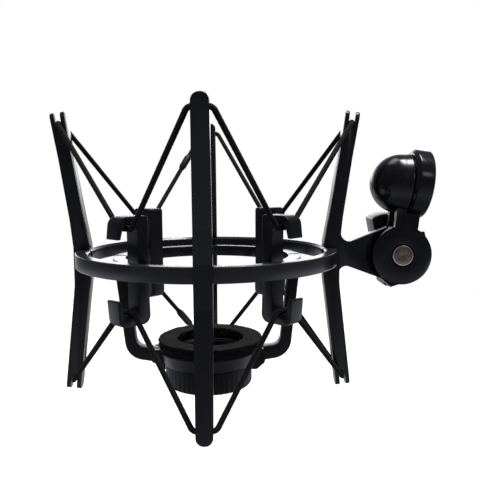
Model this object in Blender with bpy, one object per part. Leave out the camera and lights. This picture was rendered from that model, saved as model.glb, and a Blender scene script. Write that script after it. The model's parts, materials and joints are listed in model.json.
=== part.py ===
"""Elastic microphone shock mount.

An outer ring with four forked posts carries a basket on two zig-zag elastic bands, and a fork with a
threaded socket holds the ring on a stand. The world origin is the centre of the socket's mouth. The ring
lies level, the socket opens towards +X and the microphone stands along +Z. Metres."""

import math

import bmesh
import bpy
from mathutils import Matrix, Vector

CLEARANCE = 0.0003

# Outer ring. Its mid-height is the zero height of the frame and of the basket.
RING_RADIUS = 0.0550
RING_BORE_RADIUS = 0.0497
RING_HALF_HEIGHT = 0.0030
RING_CHAMFER = 0.0005
RING_LIP = 0.0010
RING_LAP_RADIUS = 0.0529

# Posts. A side view has the distance from the ring's axis across and the height up.
POST_TOP = 0.0606
POST_BOTTOM = -0.0577
POST_TIP_HALF_WIDTH = 0.00305
POST_HALF_WIDTH = 0.00335
POST_OUTER_EDGE = [
    (0.0613, 0.0410, 0.030),
    (0.0575, 0.0157, 0.010),
    (0.0563, 0.0040, 0.010),
    (0.0563, -0.0120, 0.015),
]
POST_INNER_EDGE_ABOVE = [(0.0560, 0.0430, 0.030), (0.0516, 0.0158, 0.010)]
POST_INNER_EDGE_BELOW = [(0.0496, -0.0095, 0.015)]
POST_INNER_RADIUS = 0.0496
UPPER_GROOVE = (0.0609, 0.0558)
LOWER_GROOVE = (0.0581, -0.0533)
UPPER_LEAN = math.radians(8.8)
LOWER_LEAN = math.radians(6.5)
GROOVE_HALF_WIDTH = 0.0013
PRONG_OUTSIDE = 0.0030
PRONG_INSIDE = 0.0031
PRONG_LENGTH = 0.0048
POST_SCREW_RADIUS = 0.00125
POST_SCREW_HEAD_RADIUS = 0.0022
POST_SCREW_HEAD_DEPTH = 0.0011
POST_SCREW_END = 0.0549
POST_BLANK_HALF_WIDTH = 0.006
POST_SHOULDER_HEIGHT = 0.0049

# Arm on the right post, with its tongue, and the tilt axis through it.
PIVOT_REACH = 0.0822
ARM_HALF_THICKNESS = 0.0032
TONGUE_HALF_THICKNESS = 0.0026
TONGUE_RADIUS = 0.0123
TONGUE_RELIEF_RADIUS = 0.0129
TAB_ANGLES = (math.radians(42.7), math.radians(-104.6))
TAB_RADII = (0.01415, 0.0147)
ARM_ROOT_AND_WAIST = [
    (0.0545, 0.0125, 0.0),
    (0.0568, 0.0125, 0.0),
    (0.0567, 0.0038, 0.0039),
    (0.0766, 0.0117, 0.0),
    (0.0600, 0.0, 0.0),
    (0.0744, -0.0105, 0.0),
    (0.0727, -0.0097, 0.0),
    (0.0561, -0.0035, 0.0031),
    (0.0560, -0.0115, 0.0),
    (0.0545, -0.0115, 0.0),
]

# Basket: ring, hook brackets, yoke arms.
BASKET_RADIUS = 0.0398
BASKET_BORE_RADIUS = 0.0345
BASKET_TOP = 0.0002
BASKET_BOTTOM = -0.0047
BASKET_CHAMFER = 0.0004
BASKET_LAP_RADIUS = 0.0368
BRACKET_HALF_WIDTH = 0.0036
BRACKET_OUTLINE = [
    (0.0337, -0.0229, 0.0034),
    (0.0481, -0.0229, 0.0034),
    (0.0490, -0.0125, 0.0004),
    (0.0473, -0.0125, 0.0004),
    (0.0457, -0.0192, 0.0026),
    (0.0393, -0.0192, 0.0026),
    (0.0393, 0.0155, 0.0026),
    (0.0456, 0.0155, 0.0026),
    (0.0469, 0.0104, 0.0004),
    (0.0486, 0.0104, 0.0004),
    (0.0476, 0.0189, 0.0036),
    (0.0343, 0.0189, 0.0012),
    (0.0343, -0.0080, 0.0),
]
BRACKET_SCREW_RADIUS = 0.0010
BRACKET_SCREW_HEAD_RADIUS = 0.0018
BRACKET_SCREW_HEAD_DEPTH = 0.0007
BRACKET_SCREW_HEAD_TOP = 0.0397
BRACKET_SCREW_LENGTH = 0.0045
BRACKET_POCKET_START = 0.0387
BRACKET_HOLE_START = 0.0349
BRACKET_HOLE_END = 0.0400
YOKE_HALF_WIDTH = 0.00275
YOKE_OUTLINE = [
    (0.0394, -0.0050, 0.0),
    (0.0351, -0.0440, 0.0085),
    (0.0196, -0.0464, 0.0),
    (0.0196, -0.0406, 0.0),
    (0.0309, -0.0389, 0.0040),
    (0.0347, -0.0050, 0.0),
]
YOKE_SCREW_RADIUS = 0.0012
YOKE_SCREW_HEAD_RADIUS = 0.0019
YOKE_SCREW_REACH = 0.0369
YOKE_SCREW_HEAD_DEPTH = 0.0010
YOKE_SCREW_HEAD_TOP = BASKET_TOP - 0.0001
YOKE_SCREW_END = -0.0110
SEAT_PIN_RADIUS = 0.0012
SEAT_PIN_REACH = 0.0222
SEAT_PIN_HEIGHT = -0.0433

# Microphone seat: boss with lugs, foam washer, knurled thread ring, circlip.
BOSS_TOP = -0.0397
BOSS_BOTTOM = -0.0462
BOSS_TOP_RADIUS = 0.0212
BOSS_BOTTOM_RADIUS = 0.0196
BOSS_BORE_RADIUS = 0.0159
BOSS_RECESS_RADIUS = 0.0174
BOSS_RECESS_FLOOR = -0.0422
LUG_HALF_WIDTH = 0.0050
LUG_SLOT_START = 0.0193
LUG_SLOT_FLOOR = -0.0467
RIGHT_LUG_OUTLINE = [
    (0.0165, -0.0400, 0.0),
    (0.0244, -0.0400, 0.0015),
    (0.0244, -0.0459, 0.0026),
    (0.0208, -0.0490, 0.0014),
    (0.0165, -0.0490, 0.0),
]
LEFT_LUG_OUTLINE = [
    (-0.0165, -0.0400, 0.0),
    (-0.0244, -0.0400, 0.0015),
    (-0.0244, -0.0457, 0.0016),
    (-0.0207, -0.0460, 0.0006),
    (-0.0188, -0.0486, 0.0008),
    (-0.0165, -0.0486, 0.0),
]
FOAM_TOP = -0.0353
FOAM_BOTTOM = -0.0394
FOAM_RADIUS = 0.0225
FOAM_HOLE_RADIUS = 0.0142
FOAM_OFFSET = 0.0008
THREAD_RING_RADIUS = 0.0187
THREAD_RING_BOTTOM = -0.0561
THREAD_RING_ROUNDING = 0.0022
THREAD_RING_NECK_RADIUS = 0.0156
THREAD_RADIUS = 0.0135
CIRCLIP_TOP = -0.0411
CIRCLIP_BOTTOM = -0.0419
CIRCLIP_RADIUS = 0.0170
CIRCLIP_INNER_RADIUS = 0.0153
CIRCLIP_GAP_HALF_WIDTH = 0.0015

# Elastic bands. Each runs level through a groove or a hook, and straight between them.
BAND_RADIUS = 0.0010
BAND_BEND_RADIUS = 0.0024
BAND_HOOK_RADIUS = 0.0423
UPPER_HOOK_HEIGHT = 0.0141
LOWER_HOOK_HEIGHT = -0.0178
BAND_LEVEL_AT_POST = 0.0041
BAND_LEVEL_AT_HOOK = 0.0041
SLEEVE_RADIUS = 0.0019
UPPER_SLEEVE = (0.36, 0.0085)
LOWER_SLEEVE = (0.42, 0.0115)

# Stand adapter, in its own frame: the tilt axis at the origin, the socket's axis along X above it.
ADAPTER_LEAN = math.radians(7.0)
SOCKET_HEIGHT = 0.0306
MOUTH_REACH = 0.0069
EAR_RADIUS = 0.0125
EAR_FACE_RADIUS = 0.0104
EAR_INSIDE = 0.0037
EAR_OUTSIDE = 0.0076
EAR_CHAMFER_DEPTH = 0.0008
NECK_HALF_WIDTH = 0.0049
NECK_START = 0.0062
NECK_TOP = 0.0240
NECK_SETBACK = 0.0001
NECK_OUTSIDE = 0.0072
DOME_RADIUS = 0.0126
DOME_CENTRE = -0.0035
DOME_DROP = 0.0009
DOME_RIM_RADIUS = 0.0130
DOME_RIM = -0.0012
SPIGOT_RADIUS = 0.0112
SPIGOT_END = 0.0062
COLLAR_RADIUS = 0.0144
COLLAR_START = -0.0006
COLLAR_BEVEL = 0.0014
COLLAR_EDGE = 0.0006
SOCKET_BORE_RADIUS = 0.0099
SOCKET_FLOOR = -0.0075
INSERT_RADIUS = 0.0096
INSERT_BORE_RADIUS = 0.0076
INSERT_END = 0.0059

# Clamp: barrel nut in the front ear, stud and wing knob behind the rear ear.
STUD_RADIUS = 0.0025
NUT_RADIUS = 0.0045
NUT_POCKET_RADIUS = 0.0049
NUT_FRONT = 0.0081
NUT_BACK = 0.0047
STUD_FRONT = 0.0069
STUD_BACK = 0.0180
FRICTION_WASHER_THICKNESS = 0.0005
FRICTION_WASHER_RADIUS = 0.0110
SPRING_WASHER_THICKNESS = 0.0008
SPRING_WASHER_RADIUS = 0.0065
HUB_RADIUS = 0.0070
HUB_START = 0.0090
WING_START = 0.0120
WING_END = 0.0262
WING_RADIUS = 0.0167
WING_HALF_WIDTH = 0.0055
WING_TURN = math.radians(-11.0)

QUARTERS = [("right", 0.0), ("back", 90.0), ("left", 180.0), ("front", 270.0)]
DIAGONALS = [("back_right", 45.0), ("back_left", 135.0), ("front_left", 225.0), ("front_right", 315.0)]


# ---------------------------------------------------------------- meshes
def finished(shape, name):
    """A mesh of the bmesh, closed and facing out, smooth where its faces turn gently."""
    bmesh.ops.remove_doubles(shape, verts=shape.verts, dist=1e-7)
    bmesh.ops.recalc_face_normals(shape, faces=shape.faces)
    mesh = bpy.data.meshes.new(name)
    shape.to_mesh(mesh)
    shape.free()
    mesh.shade_smooth()
    mesh.set_sharp_from_angle(angle=math.radians(32))
    return mesh


def corner_arc(before, here, after, radius, steps):
    """Points of the arc that rounds the corner at `here` between its two neighbours."""
    back = (before - here).normalized()
    onward = (after - here).normalized()
    half = back.angle(onward) / 2
    centre = here + (back + onward).normalized() * radius / math.sin(half)
    start = here + back * radius / math.tan(half) - centre
    end = here + onward * radius / math.tan(half) - centre
    turn = math.pi - 2 * half
    points = []
    for i in range(steps + 1):
        share = i / steps
        blend = start * math.sin(turn * (1 - share)) + end * math.sin(turn * share)
        points.append(centre + blend / math.sin(turn))
    return points


def rounded(corners, steps=3):
    """The outline through (across, up, radius) corners, rounded by their radii. A radius of 0 stays sharp."""
    places = [Vector(corner[:2]) for corner in corners]
    points = []
    for i, (_, _, radius) in enumerate(corners):
        if radius == 0:
            points.append(places[i])
        else:
            after = places[(i + 1) % len(places)]
            points += corner_arc(places[i - 1], places[i], after, radius, steps)
    return points


def prism(name, outline, near, far):
    """A solid with this outline in X and Z, from y = near to y = far."""
    shape = bmesh.new()
    ends = [[shape.verts.new((point[0], y, point[1])) for point in outline] for y in (near, far)]
    for i in range(len(outline)):
        shape.faces.new((ends[0][i - 1], ends[0][i], ends[1][i], ends[1][i - 1]))
    for end in ends:
        shape.faces.new(end)
    return finished(shape, name)


def turned(name, profile, steps):
    """The closed (radius, height) profile turned about Z."""
    shape = bmesh.new()
    turns = []
    for i in range(steps):
        angle = 2 * math.pi * i / steps
        turns.append([shape.verts.new((r * math.cos(angle), r * math.sin(angle), z)) for r, z in profile])
    for i in range(steps):
        for j in range(len(profile)):
            corners = (turns[i - 1][j - 1], turns[i - 1][j], turns[i][j], turns[i][j - 1])
            if profile[j - 1][0] > 0 or profile[j][0] > 0:
                shape.faces.new(corners)
    bmesh.ops.remove_doubles(shape, verts=shape.verts, dist=1e-7)
    bmesh.ops.dissolve_degenerate(shape, edges=shape.edges, dist=1e-7)
    return finished(shape, name)


def moved(mesh, matrix):
    mesh.transform(matrix)
    return mesh


def rod(name, radius, start, end, steps=16):
    """A plain round bar along Z."""
    return turned(name, [(0, start), (radius, start), (radius, end), (0, end)], steps)


def block(name, low, high):
    outline = [(low[0], low[2]), (high[0], low[2]), (high[0], high[2]), (low[0], high[2])]
    return prism(name, outline, low[1], high[1])


def along_x(mesh):
    """Turns a mesh made along Z so that it lies along X."""
    return moved(mesh, Matrix.Rotation(math.radians(90), 4, "Y"))


def along_y(mesh):
    """Turns a mesh made along Z so that it lies along Y."""
    return moved(mesh, Matrix.Rotation(math.radians(-90), 4, "X"))


# ---------------------------------------------------------------- objects
def make_material(name, colour, roughness, metallic):
    material = bpy.data.materials.new(name)
    material.use_nodes = True
    shader = material.node_tree.nodes["Principled BSDF"]
    shader.inputs["Base Color"].default_value = (*colour, 1)
    shader.inputs["Roughness"].default_value = roughness
    shader.inputs["Metallic"].default_value = metallic
    return material


def add(name, mesh, parent, finish, azimuth=0.0):
    """A visible piece, turned about its parent's Z by `azimuth` degrees, with a material of its own."""
    piece = bpy.data.objects.new(name, mesh)
    bpy.context.scene.collection.objects.link(piece)
    piece.parent = parent
    piece.rotation_euler.z = math.radians(azimuth)
    piece.data.materials.append(make_material(name, *finish))
    return piece


def add_empty(name, parent=None, location=(0, 0, 0), rotation=(0, 0, 0)):
    empty = bpy.data.objects.new(name, None)
    bpy.context.scene.collection.objects.link(empty)
    empty.parent = parent
    empty.location = location
    empty.rotation_euler = rotation
    return empty


def combine(piece, operation, *meshes, solver="EXACT"):
    """Boolean modifiers on the piece, with a hidden helper object for each mesh in the piece's own frame."""
    for mesh in meshes:
        helper = bpy.data.objects.new(mesh.name, mesh)
        bpy.context.scene.collection.objects.link(helper)
        helper.parent = piece
        helper.hide_render = True
        helper.display_type = "WIRE"
        modifier = piece.modifiers.new(mesh.name, "BOOLEAN")
        modifier.operation = operation
        modifier.solver = solver
        modifier.object = helper


PAINT = ((0.018, 0.018, 0.020), 0.42, 0.0)
STEEL = ((0.42, 0.38, 0.34), 0.32, 1.0)
BLACK_STEEL = ((0.03, 0.03, 0.032), 0.40, 1.0)
BRASS = ((0.60, 0.46, 0.22), 0.35, 1.0)
FOAM = ((0.008, 0.008, 0.008), 0.95, 0.0)
BRAID = ((0.012, 0.012, 0.012), 0.85, 0.0)
NYLON = ((0.30, 0.30, 0.29), 0.55, 0.0)
GLOSS = ((0.012, 0.012, 0.014), 0.22, 0.0)


# ---------------------------------------------------------------- outer frame
def post_outline():
    """Side view of a post: both forked tips, and the notch that laps over the ring."""

    def fork(groove, lean, up):
        """Corners of one tip, from its outer edge to its inner edge."""
        onward = Vector((math.sin(lean), up * math.cos(lean)))
        outward = Vector((math.cos(lean), -up * math.sin(lean)))
        outer_round = (PRONG_OUTSIDE - GROOVE_HALF_WIDTH) * 0.48
        inner_round = (PRONG_INSIDE - GROOVE_HALF_WIDTH) * 0.48
        local = [
            (PRONG_OUTSIDE, PRONG_LENGTH, outer_round),
            (GROOVE_HALF_WIDTH, PRONG_LENGTH, outer_round),
            (GROOVE_HALF_WIDTH, -GROOVE_HALF_WIDTH, GROOVE_HALF_WIDTH * 0.98),
            (-GROOVE_HALF_WIDTH, -GROOVE_HALF_WIDTH, GROOVE_HALF_WIDTH * 0.98),
            (-GROOVE_HALF_WIDTH, PRONG_LENGTH, inner_round),
            (-PRONG_INSIDE, PRONG_LENGTH, inner_round),
        ]
        places = [(Vector(groove) + outward * across + onward * along, r) for across, along, r in local]
        return [(place.x, place.y, r) for place, r in places]

    notch = RING_HALF_HEIGHT + CLEARANCE + 0.0001
    lap = RING_LAP_RADIUS + CLEARANCE
    inner = POST_INNER_RADIUS
    upper_fork = fork(UPPER_GROOVE, UPPER_LEAN, 1)
    lower_fork = fork(LOWER_GROOVE, LOWER_LEAN, -1)
    ring_notch = [(inner, notch, 0.0), (lap, notch, 0.0), (lap, -notch, 0.0), (inner, -notch, 0.0)]
    shoulder = [(inner, POST_SHOULDER_HEIGHT, 0.001)]
    inner_edge = POST_INNER_EDGE_ABOVE + shoulder + ring_notch + POST_INNER_EDGE_BELOW
    outer_edge = POST_OUTER_EDGE[::-1]
    return rounded(upper_fork + inner_edge + lower_fork[::-1] + outer_edge, 3)


def post_front_view(name):
    """What a post fills seen from the front: widest at the ring, its round ends square to the tips."""
    top = POST_TIP_HALF_WIDTH
    right_side = [
        (top, POST_TOP, top * 0.97),
        (POST_HALF_WIDTH, RING_HALF_HEIGHT, 0.0),
        (POST_HALF_WIDTH, -RING_HALF_HEIGHT, 0.0),
        (top, POST_BOTTOM, top * 0.97),
    ]
    left_side = [(-across, up, radius) for across, up, radius in right_side]
    outline = rounded(right_side + left_side[::-1], 5)
    mesh = moved(prism(name, outline, -0.080, -0.040), Matrix.Rotation(math.radians(90), 4, "Z"))
    for vertex in mesh.vertices:
        if vertex.co.z > RING_HALF_HEIGHT + CLEARANCE:
            vertex.co.z -= (vertex.co.x - UPPER_GROOVE[0]) * math.tan(UPPER_LEAN)
        elif vertex.co.z < -RING_HALF_HEIGHT - CLEARANCE:
            vertex.co.z += (vertex.co.x - LOWER_GROOVE[0]) * math.tan(LOWER_LEAN)
    return mesh


def build_outer_ring(frame):
    bottom, top = -RING_HALF_HEIGHT, RING_HALF_HEIGHT
    profile = [
        (RING_RADIUS, bottom + RING_CHAMFER),
        (RING_RADIUS, top - RING_CHAMFER),
        (RING_RADIUS - RING_CHAMFER, top),
        (RING_BORE_RADIUS + RING_LIP, top),
        (RING_BORE_RADIUS, top - RING_LIP),
        (RING_BORE_RADIUS, bottom + RING_CHAMFER),
        (RING_BORE_RADIUS + RING_CHAMFER, bottom),
        (RING_RADIUS - RING_CHAMFER, bottom),
    ]
    ring = add("outer_ring", turned("outer_ring", profile, 72), frame, PAINT)
    half = POST_HALF_WIDTH + CLEARANCE
    for side, azimuth in QUARTERS:
        spin = Matrix.Rotation(math.radians(azimuth), 4, "Z")
        notch = block(f"ring_notch_{side}", (RING_LAP_RADIUS, -half, -0.01), (RING_RADIUS + 0.01, half, 0.01))
        pocket_radius = POST_SCREW_HEAD_RADIUS + CLEARANCE
        pocket_floor = RING_BORE_RADIUS + POST_SCREW_HEAD_DEPTH + 2 * CLEARANCE
        pocket = along_x(rod(f"ring_pocket_{side}", pocket_radius, RING_BORE_RADIUS - 0.002, pocket_floor, 12))
        hole = along_x(rod(f"ring_hole_{side}", POST_SCREW_RADIUS + CLEARANCE, 0.048, 0.058, 12))
        combine(ring, "DIFFERENCE", *(moved(mesh, spin) for mesh in (notch, pocket, hole)))


def arm_outline():
    """Front view of the arm and its tongue: a waist at the post, a round tongue with two corner tabs."""
    first_tab, second_tab = TAB_ANGLES
    first_tab_radius, second_tab_radius = TAB_RADII
    tab_flat = first_tab_radius * math.sin(first_tab)

    def round_the_pivot(start, end, count):
        angles = [start + (end - start) * i / count for i in range(count + 1)]
        return [(PIVOT_REACH + TONGUE_RADIUS * math.cos(a), TONGUE_RADIUS * math.sin(a)) for a in angles]

    def tab(angle, radius):
        return [(PIVOT_REACH + radius * math.cos(angle), radius * math.sin(angle))]

    first_touch = first_tab - math.acos(TONGUE_RADIUS / first_tab_radius)
    second_touch = second_tab + math.acos(TONGUE_RADIUS / second_tab_radius)
    root_and_top = rounded(ARM_ROOT_AND_WAIST, 5)
    split = root_and_top.index(Vector((0.0600, 0.0)))
    over = round_the_pivot(math.radians(113), math.asin(tab_flat / TONGUE_RADIUS), 6)
    under = round_the_pivot(first_touch, second_touch, 10)
    tongue = over + tab(first_tab, first_tab_radius) + under + tab(second_tab, second_tab_radius)
    return [*root_and_top[:split], *map(Vector, tongue), *root_and_top[split + 1 :]]


def build_posts(frame):
    for side, azimuth in QUARTERS:
        name = f"post_{side}"
        blank = prism(name, post_outline(), -POST_BLANK_HALF_WIDTH, POST_BLANK_HALF_WIDTH)
        post = add(name, blank, frame, PAINT, azimuth)
        combine(post, "INTERSECT", post_front_view(f"{name}_front_view"))
        if side == "right":
            arm = prism("arm_shape", arm_outline(), -ARM_HALF_THICKNESS, ARM_HALF_THICKNESS)
            combine(post, "UNION", arm)
        hole_radius = POST_SCREW_RADIUS + CLEARANCE
        hole = along_x(rod(f"{name}_hole", hole_radius, 0.050, POST_SCREW_END + CLEARANCE, 12))
        combine(post, "DIFFERENCE", hole)
        if side == "right":
            thin_tongue(post)


def thin_tongue(post):
    """Thins the arm's tongue to fit between the fork's ears, and bores it for the clamp stud."""
    at_pivot = Matrix.Translation((PIVOT_REACH, 0, 0))
    for side, start, end in (
        ("front", -POST_BLANK_HALF_WIDTH, -TONGUE_HALF_THICKNESS),
        ("rear", TONGUE_HALF_THICKNESS, POST_BLANK_HALF_WIDTH),
    ):
        relief = along_y(rod(f"tongue_relief_{side}", TONGUE_RELIEF_RADIUS, start, end, 40))
        combine(post, "DIFFERENCE", moved(relief, at_pivot))
    bore = along_y(rod("tongue_bore", STUD_RADIUS + CLEARANCE, -0.01, 0.01, 16))
    combine(post, "DIFFERENCE", moved(bore, at_pivot))


def screw_mesh(name, radius, head_radius, head_depth, length):
    """A pan head screw along Z, with the head's top at 0 and the point at +length."""
    profile = [(0, 0), (head_radius * 0.8, 0), (head_radius, head_depth * 0.3), (head_radius, head_depth)]
    profile += [(radius, head_depth), (radius, length - radius * 0.4), (radius * 0.6, length), (0, length)]
    return turned(name, profile, 12)


def build_post_screws(frame):
    for side, azimuth in QUARTERS:
        name = f"post_screw_{side}"
        head_top = RING_BORE_RADIUS + CLEARANCE
        mesh = screw_mesh(
            name, POST_SCREW_RADIUS, POST_SCREW_HEAD_RADIUS, POST_SCREW_HEAD_DEPTH, POST_SCREW_END - head_top
        )
        mesh = moved(along_x(mesh), Matrix.Translation((head_top, 0, 0)))
        add(name, mesh, frame, BLACK_STEEL, azimuth)


# ---------------------------------------------------------------- basket
def build_basket_ring(basket):
    chamfer = BASKET_CHAMFER
    profile = [
        (BASKET_RADIUS, BASKET_BOTTOM + chamfer),
        (BASKET_RADIUS, BASKET_TOP - chamfer),
        (BASKET_RADIUS - chamfer, BASKET_TOP),
        (BASKET_BORE_RADIUS + chamfer, BASKET_TOP),
        (BASKET_BORE_RADIUS, BASKET_TOP - chamfer),
        (BASKET_BORE_RADIUS, BASKET_BOTTOM + chamfer),
        (BASKET_BORE_RADIUS + chamfer, BASKET_BOTTOM),
        (BASKET_RADIUS - chamfer, BASKET_BOTTOM),
    ]
    ring = add("basket_ring", turned("basket_ring", profile, 56), basket, PAINT)
    half = BRACKET_HALF_WIDTH + CLEARANCE
    middle = (BASKET_TOP + BASKET_BOTTOM) / 2
    for side, azimuth in DIAGONALS:
        spin = Matrix.Rotation(math.radians(azimuth), 4, "Z") @ Matrix.Translation((0, 0, middle))
        notch = block(f"basket_notch_{side}", (0.030, -half, -0.01), (BASKET_LAP_RADIUS, half, 0.01))
        pocket_radius = BRACKET_SCREW_HEAD_RADIUS + CLEARANCE
        pocket = along_x(rod(f"basket_pocket_{side}", pocket_radius, BRACKET_POCKET_START, 0.041, 12))
        hole_radius = BRACKET_SCREW_RADIUS + CLEARANCE
        hole = along_x(rod(f"basket_hole_{side}", hole_radius, 0.036, BRACKET_HOLE_END, 12))
        combine(ring, "DIFFERENCE", *(moved(mesh, spin) for mesh in (notch, pocket, hole)), solver="MANIFOLD")
    for side, reach in (("right", YOKE_SCREW_REACH), ("left", -YOKE_SCREW_REACH)):
        place = Matrix.Translation((reach, 0, 0))
        hole = rod(f"yoke_hole_{side}", YOKE_SCREW_RADIUS + CLEARANCE, -0.01, 0.01, 12)
        sink = rod(f"yoke_sink_{side}", YOKE_SCREW_HEAD_RADIUS + CLEARANCE, BASKET_TOP - 0.0014, 0.01, 12)
        combine(ring, "DIFFERENCE", moved(hole, place), moved(sink, place), solver="MANIFOLD")


def build_brackets(basket):
    middle = (BASKET_TOP + BASKET_BOTTOM) / 2
    half_notch = (BASKET_TOP - BASKET_BOTTOM) / 2 + CLEARANCE
    for side, azimuth in DIAGONALS:
        name = f"hook_bracket_{side}"
        mesh = prism(name, rounded(BRACKET_OUTLINE), -BRACKET_HALF_WIDTH, BRACKET_HALF_WIDTH)
        bracket = add(name, mesh, basket, PAINT, azimuth)
        lap = BASKET_LAP_RADIUS - CLEARANCE
        low = (lap, -0.005, middle - half_notch)
        notch = block(f"{name}_notch", low, (BASKET_RADIUS + 0.0002, 0.005, middle + half_notch))
        hole_radius = BRACKET_SCREW_RADIUS + CLEARANCE
        screw_hole = along_x(rod(f"{name}_hole", hole_radius, BRACKET_HOLE_START, BRACKET_HOLE_END, 12))
        combine(bracket, "DIFFERENCE", notch, moved(screw_hole, Matrix.Translation((0, 0, middle))))
        build_bracket_screw(f"bracket_screw_{side}", basket, azimuth, middle)


def build_bracket_screw(name, basket, azimuth, height):
    mesh = screw_mesh(
        name, BRACKET_SCREW_RADIUS, BRACKET_SCREW_HEAD_RADIUS, BRACKET_SCREW_HEAD_DEPTH, BRACKET_SCREW_LENGTH
    )
    turn = Matrix.Rotation(math.radians(-90), 4, "Y")
    inward = Matrix.Translation((BRACKET_SCREW_HEAD_TOP, 0, height)) @ turn
    add(name, moved(mesh, inward), basket, BLACK_STEEL, azimuth)


def build_yoke(basket):
    for side, azimuth in (("right", 0.0), ("left", 180.0)):
        name = f"yoke_arm_{side}"
        mesh = prism(name, rounded(YOKE_OUTLINE, 6), -YOKE_HALF_WIDTH, YOKE_HALF_WIDTH)
        arm = add(name, mesh, basket, PAINT, azimuth)
        hole = rod(f"{name}_hole", YOKE_SCREW_RADIUS + CLEARANCE, YOKE_SCREW_END - CLEARANCE, 0.0, 12)
        pin_hole = along_y(rod(f"{name}_pin_hole", SEAT_PIN_RADIUS + CLEARANCE, -0.01, 0.01, 12))
        at_pin = Matrix.Translation((SEAT_PIN_REACH, 0, SEAT_PIN_HEIGHT))
        at_screw = Matrix.Translation((YOKE_SCREW_REACH, 0, 0))
        combine(arm, "DIFFERENCE", moved(hole, at_screw), moved(pin_hole, at_pin))
        screw_name = f"yoke_screw_{side}"
        length = YOKE_SCREW_HEAD_TOP - YOKE_SCREW_END
        screw = screw_mesh(
            screw_name, YOKE_SCREW_RADIUS, YOKE_SCREW_HEAD_RADIUS, YOKE_SCREW_HEAD_DEPTH, length
        )
        at_head = Matrix.Translation((YOKE_SCREW_REACH, 0, YOKE_SCREW_HEAD_TOP))
        downward = at_head @ Matrix.Rotation(math.pi, 4, "X")
        add(screw_name, moved(screw, downward), basket, BLACK_STEEL, azimuth)
        pin_half_length = LUG_HALF_WIDTH - 0.0001
        pin = along_y(rod(f"seat_pin_{side}", SEAT_PIN_RADIUS, -pin_half_length, pin_half_length, 12))
        add(f"seat_pin_{side}", moved(pin, at_pin), basket, BLACK_STEEL, azimuth)


def build_seat_boss(basket):
    """A round boss with two lugs. Each lug is slotted for a yoke arm, which a cross pin holds."""
    profile = [
        (BOSS_BOTTOM_RADIUS, BOSS_BOTTOM),
        (BOSS_TOP_RADIUS, BOSS_TOP - 0.0012),
        (BOSS_TOP_RADIUS - 0.0004, BOSS_TOP),
        (BOSS_RECESS_RADIUS, BOSS_TOP),
        (BOSS_RECESS_RADIUS, BOSS_RECESS_FLOOR),
        (BOSS_BORE_RADIUS, BOSS_RECESS_FLOOR),
        (BOSS_BORE_RADIUS, BOSS_BOTTOM),
    ]
    boss = add("seat_boss", turned("seat_boss", profile, 44), basket, PAINT)
    for side, outline in (("right", RIGHT_LUG_OUTLINE), ("left", LEFT_LUG_OUTLINE)):
        combine(boss, "UNION", prism(f"lug_{side}", rounded(outline), -LUG_HALF_WIDTH, LUG_HALF_WIDTH))
    bore = rod("boss_bore", BOSS_BORE_RADIUS, -0.060, -0.030, 44)
    recess = rod("boss_recess", BOSS_RECESS_RADIUS, BOSS_RECESS_FLOOR, -0.030, 44)
    ring_room = rod("thread_ring_room", THREAD_RING_RADIUS + CLEARANCE, -0.060, BOSS_BOTTOM, 44)
    combine(boss, "DIFFERENCE", bore, recess, ring_room)
    slot_half = YOKE_HALF_WIDTH + CLEARANCE
    for side, low, high in (("right", LUG_SLOT_START, 0.030), ("left", -0.030, -LUG_SLOT_START)):
        slot = block(f"yoke_slot_{side}", (low, -slot_half, LUG_SLOT_FLOOR), (high, slot_half, -0.030))
        pin_hole = along_y(rod(f"lug_hole_{side}", SEAT_PIN_RADIUS + CLEARANCE, -0.01, 0.01, 12))
        reach = math.copysign(SEAT_PIN_REACH, low)
        combine(boss, "DIFFERENCE", slot, moved(pin_hole, Matrix.Translation((reach, 0, SEAT_PIN_HEIGHT))))


def build_foam_washer(basket):
    profile = [
        (FOAM_RADIUS, FOAM_BOTTOM),
        (FOAM_RADIUS, FOAM_TOP),
        (FOAM_HOLE_RADIUS, FOAM_TOP),
        (FOAM_HOLE_RADIUS, FOAM_BOTTOM),
    ]
    washer = add("foam_washer", turned("foam_washer", profile, 36), basket, FOAM)
    washer.location.x = FOAM_OFFSET


def build_thread_ring(thread_axis):
    """The ring that screws onto the microphone. Its neck turns in the boss, and a circlip keeps it there."""
    groove_radius = CIRCLIP_INNER_RADIUS - CLEARANCE
    neck_top = BOSS_TOP - CLEARANCE
    rounding = corner_arc(
        Vector((THREAD_RADIUS, THREAD_RING_BOTTOM)),
        Vector((THREAD_RING_RADIUS, THREAD_RING_BOTTOM)),
        Vector((THREAD_RING_RADIUS, BOSS_BOTTOM)),
        THREAD_RING_ROUNDING,
        4,
    )
    shoulder = BOSS_BOTTOM - CLEARANCE
    profile = [(THREAD_RADIUS, THREAD_RING_BOTTOM)] + [tuple(point) for point in rounding]
    profile += [
        (THREAD_RING_RADIUS, shoulder),
        (THREAD_RING_NECK_RADIUS, shoulder),
        (THREAD_RING_NECK_RADIUS, CIRCLIP_BOTTOM - CLEARANCE),
        (groove_radius, CIRCLIP_BOTTOM - CLEARANCE),
        (groove_radius, CIRCLIP_TOP + CLEARANCE),
        (THREAD_RING_NECK_RADIUS, CIRCLIP_TOP + CLEARANCE),
        (THREAD_RING_NECK_RADIUS, neck_top),
        (THREAD_RADIUS, neck_top),
    ]
    add("thread_ring", turned("thread_ring", profile, 44), thread_axis, GLOSS)
    clip_profile = [
        (CIRCLIP_RADIUS, CIRCLIP_BOTTOM),
        (CIRCLIP_RADIUS, CIRCLIP_TOP),
        (CIRCLIP_INNER_RADIUS, CIRCLIP_TOP),
        (CIRCLIP_INNER_RADIUS, CIRCLIP_BOTTOM),
    ]
    clip = add("circlip", turned("circlip", clip_profile, 32), thread_axis, BLACK_STEEL)
    gap = CIRCLIP_GAP_HALF_WIDTH
    combine(clip, "DIFFERENCE", block("circlip_gap", (-gap, 0.010, -0.050), (gap, 0.020, -0.030)))


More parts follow.
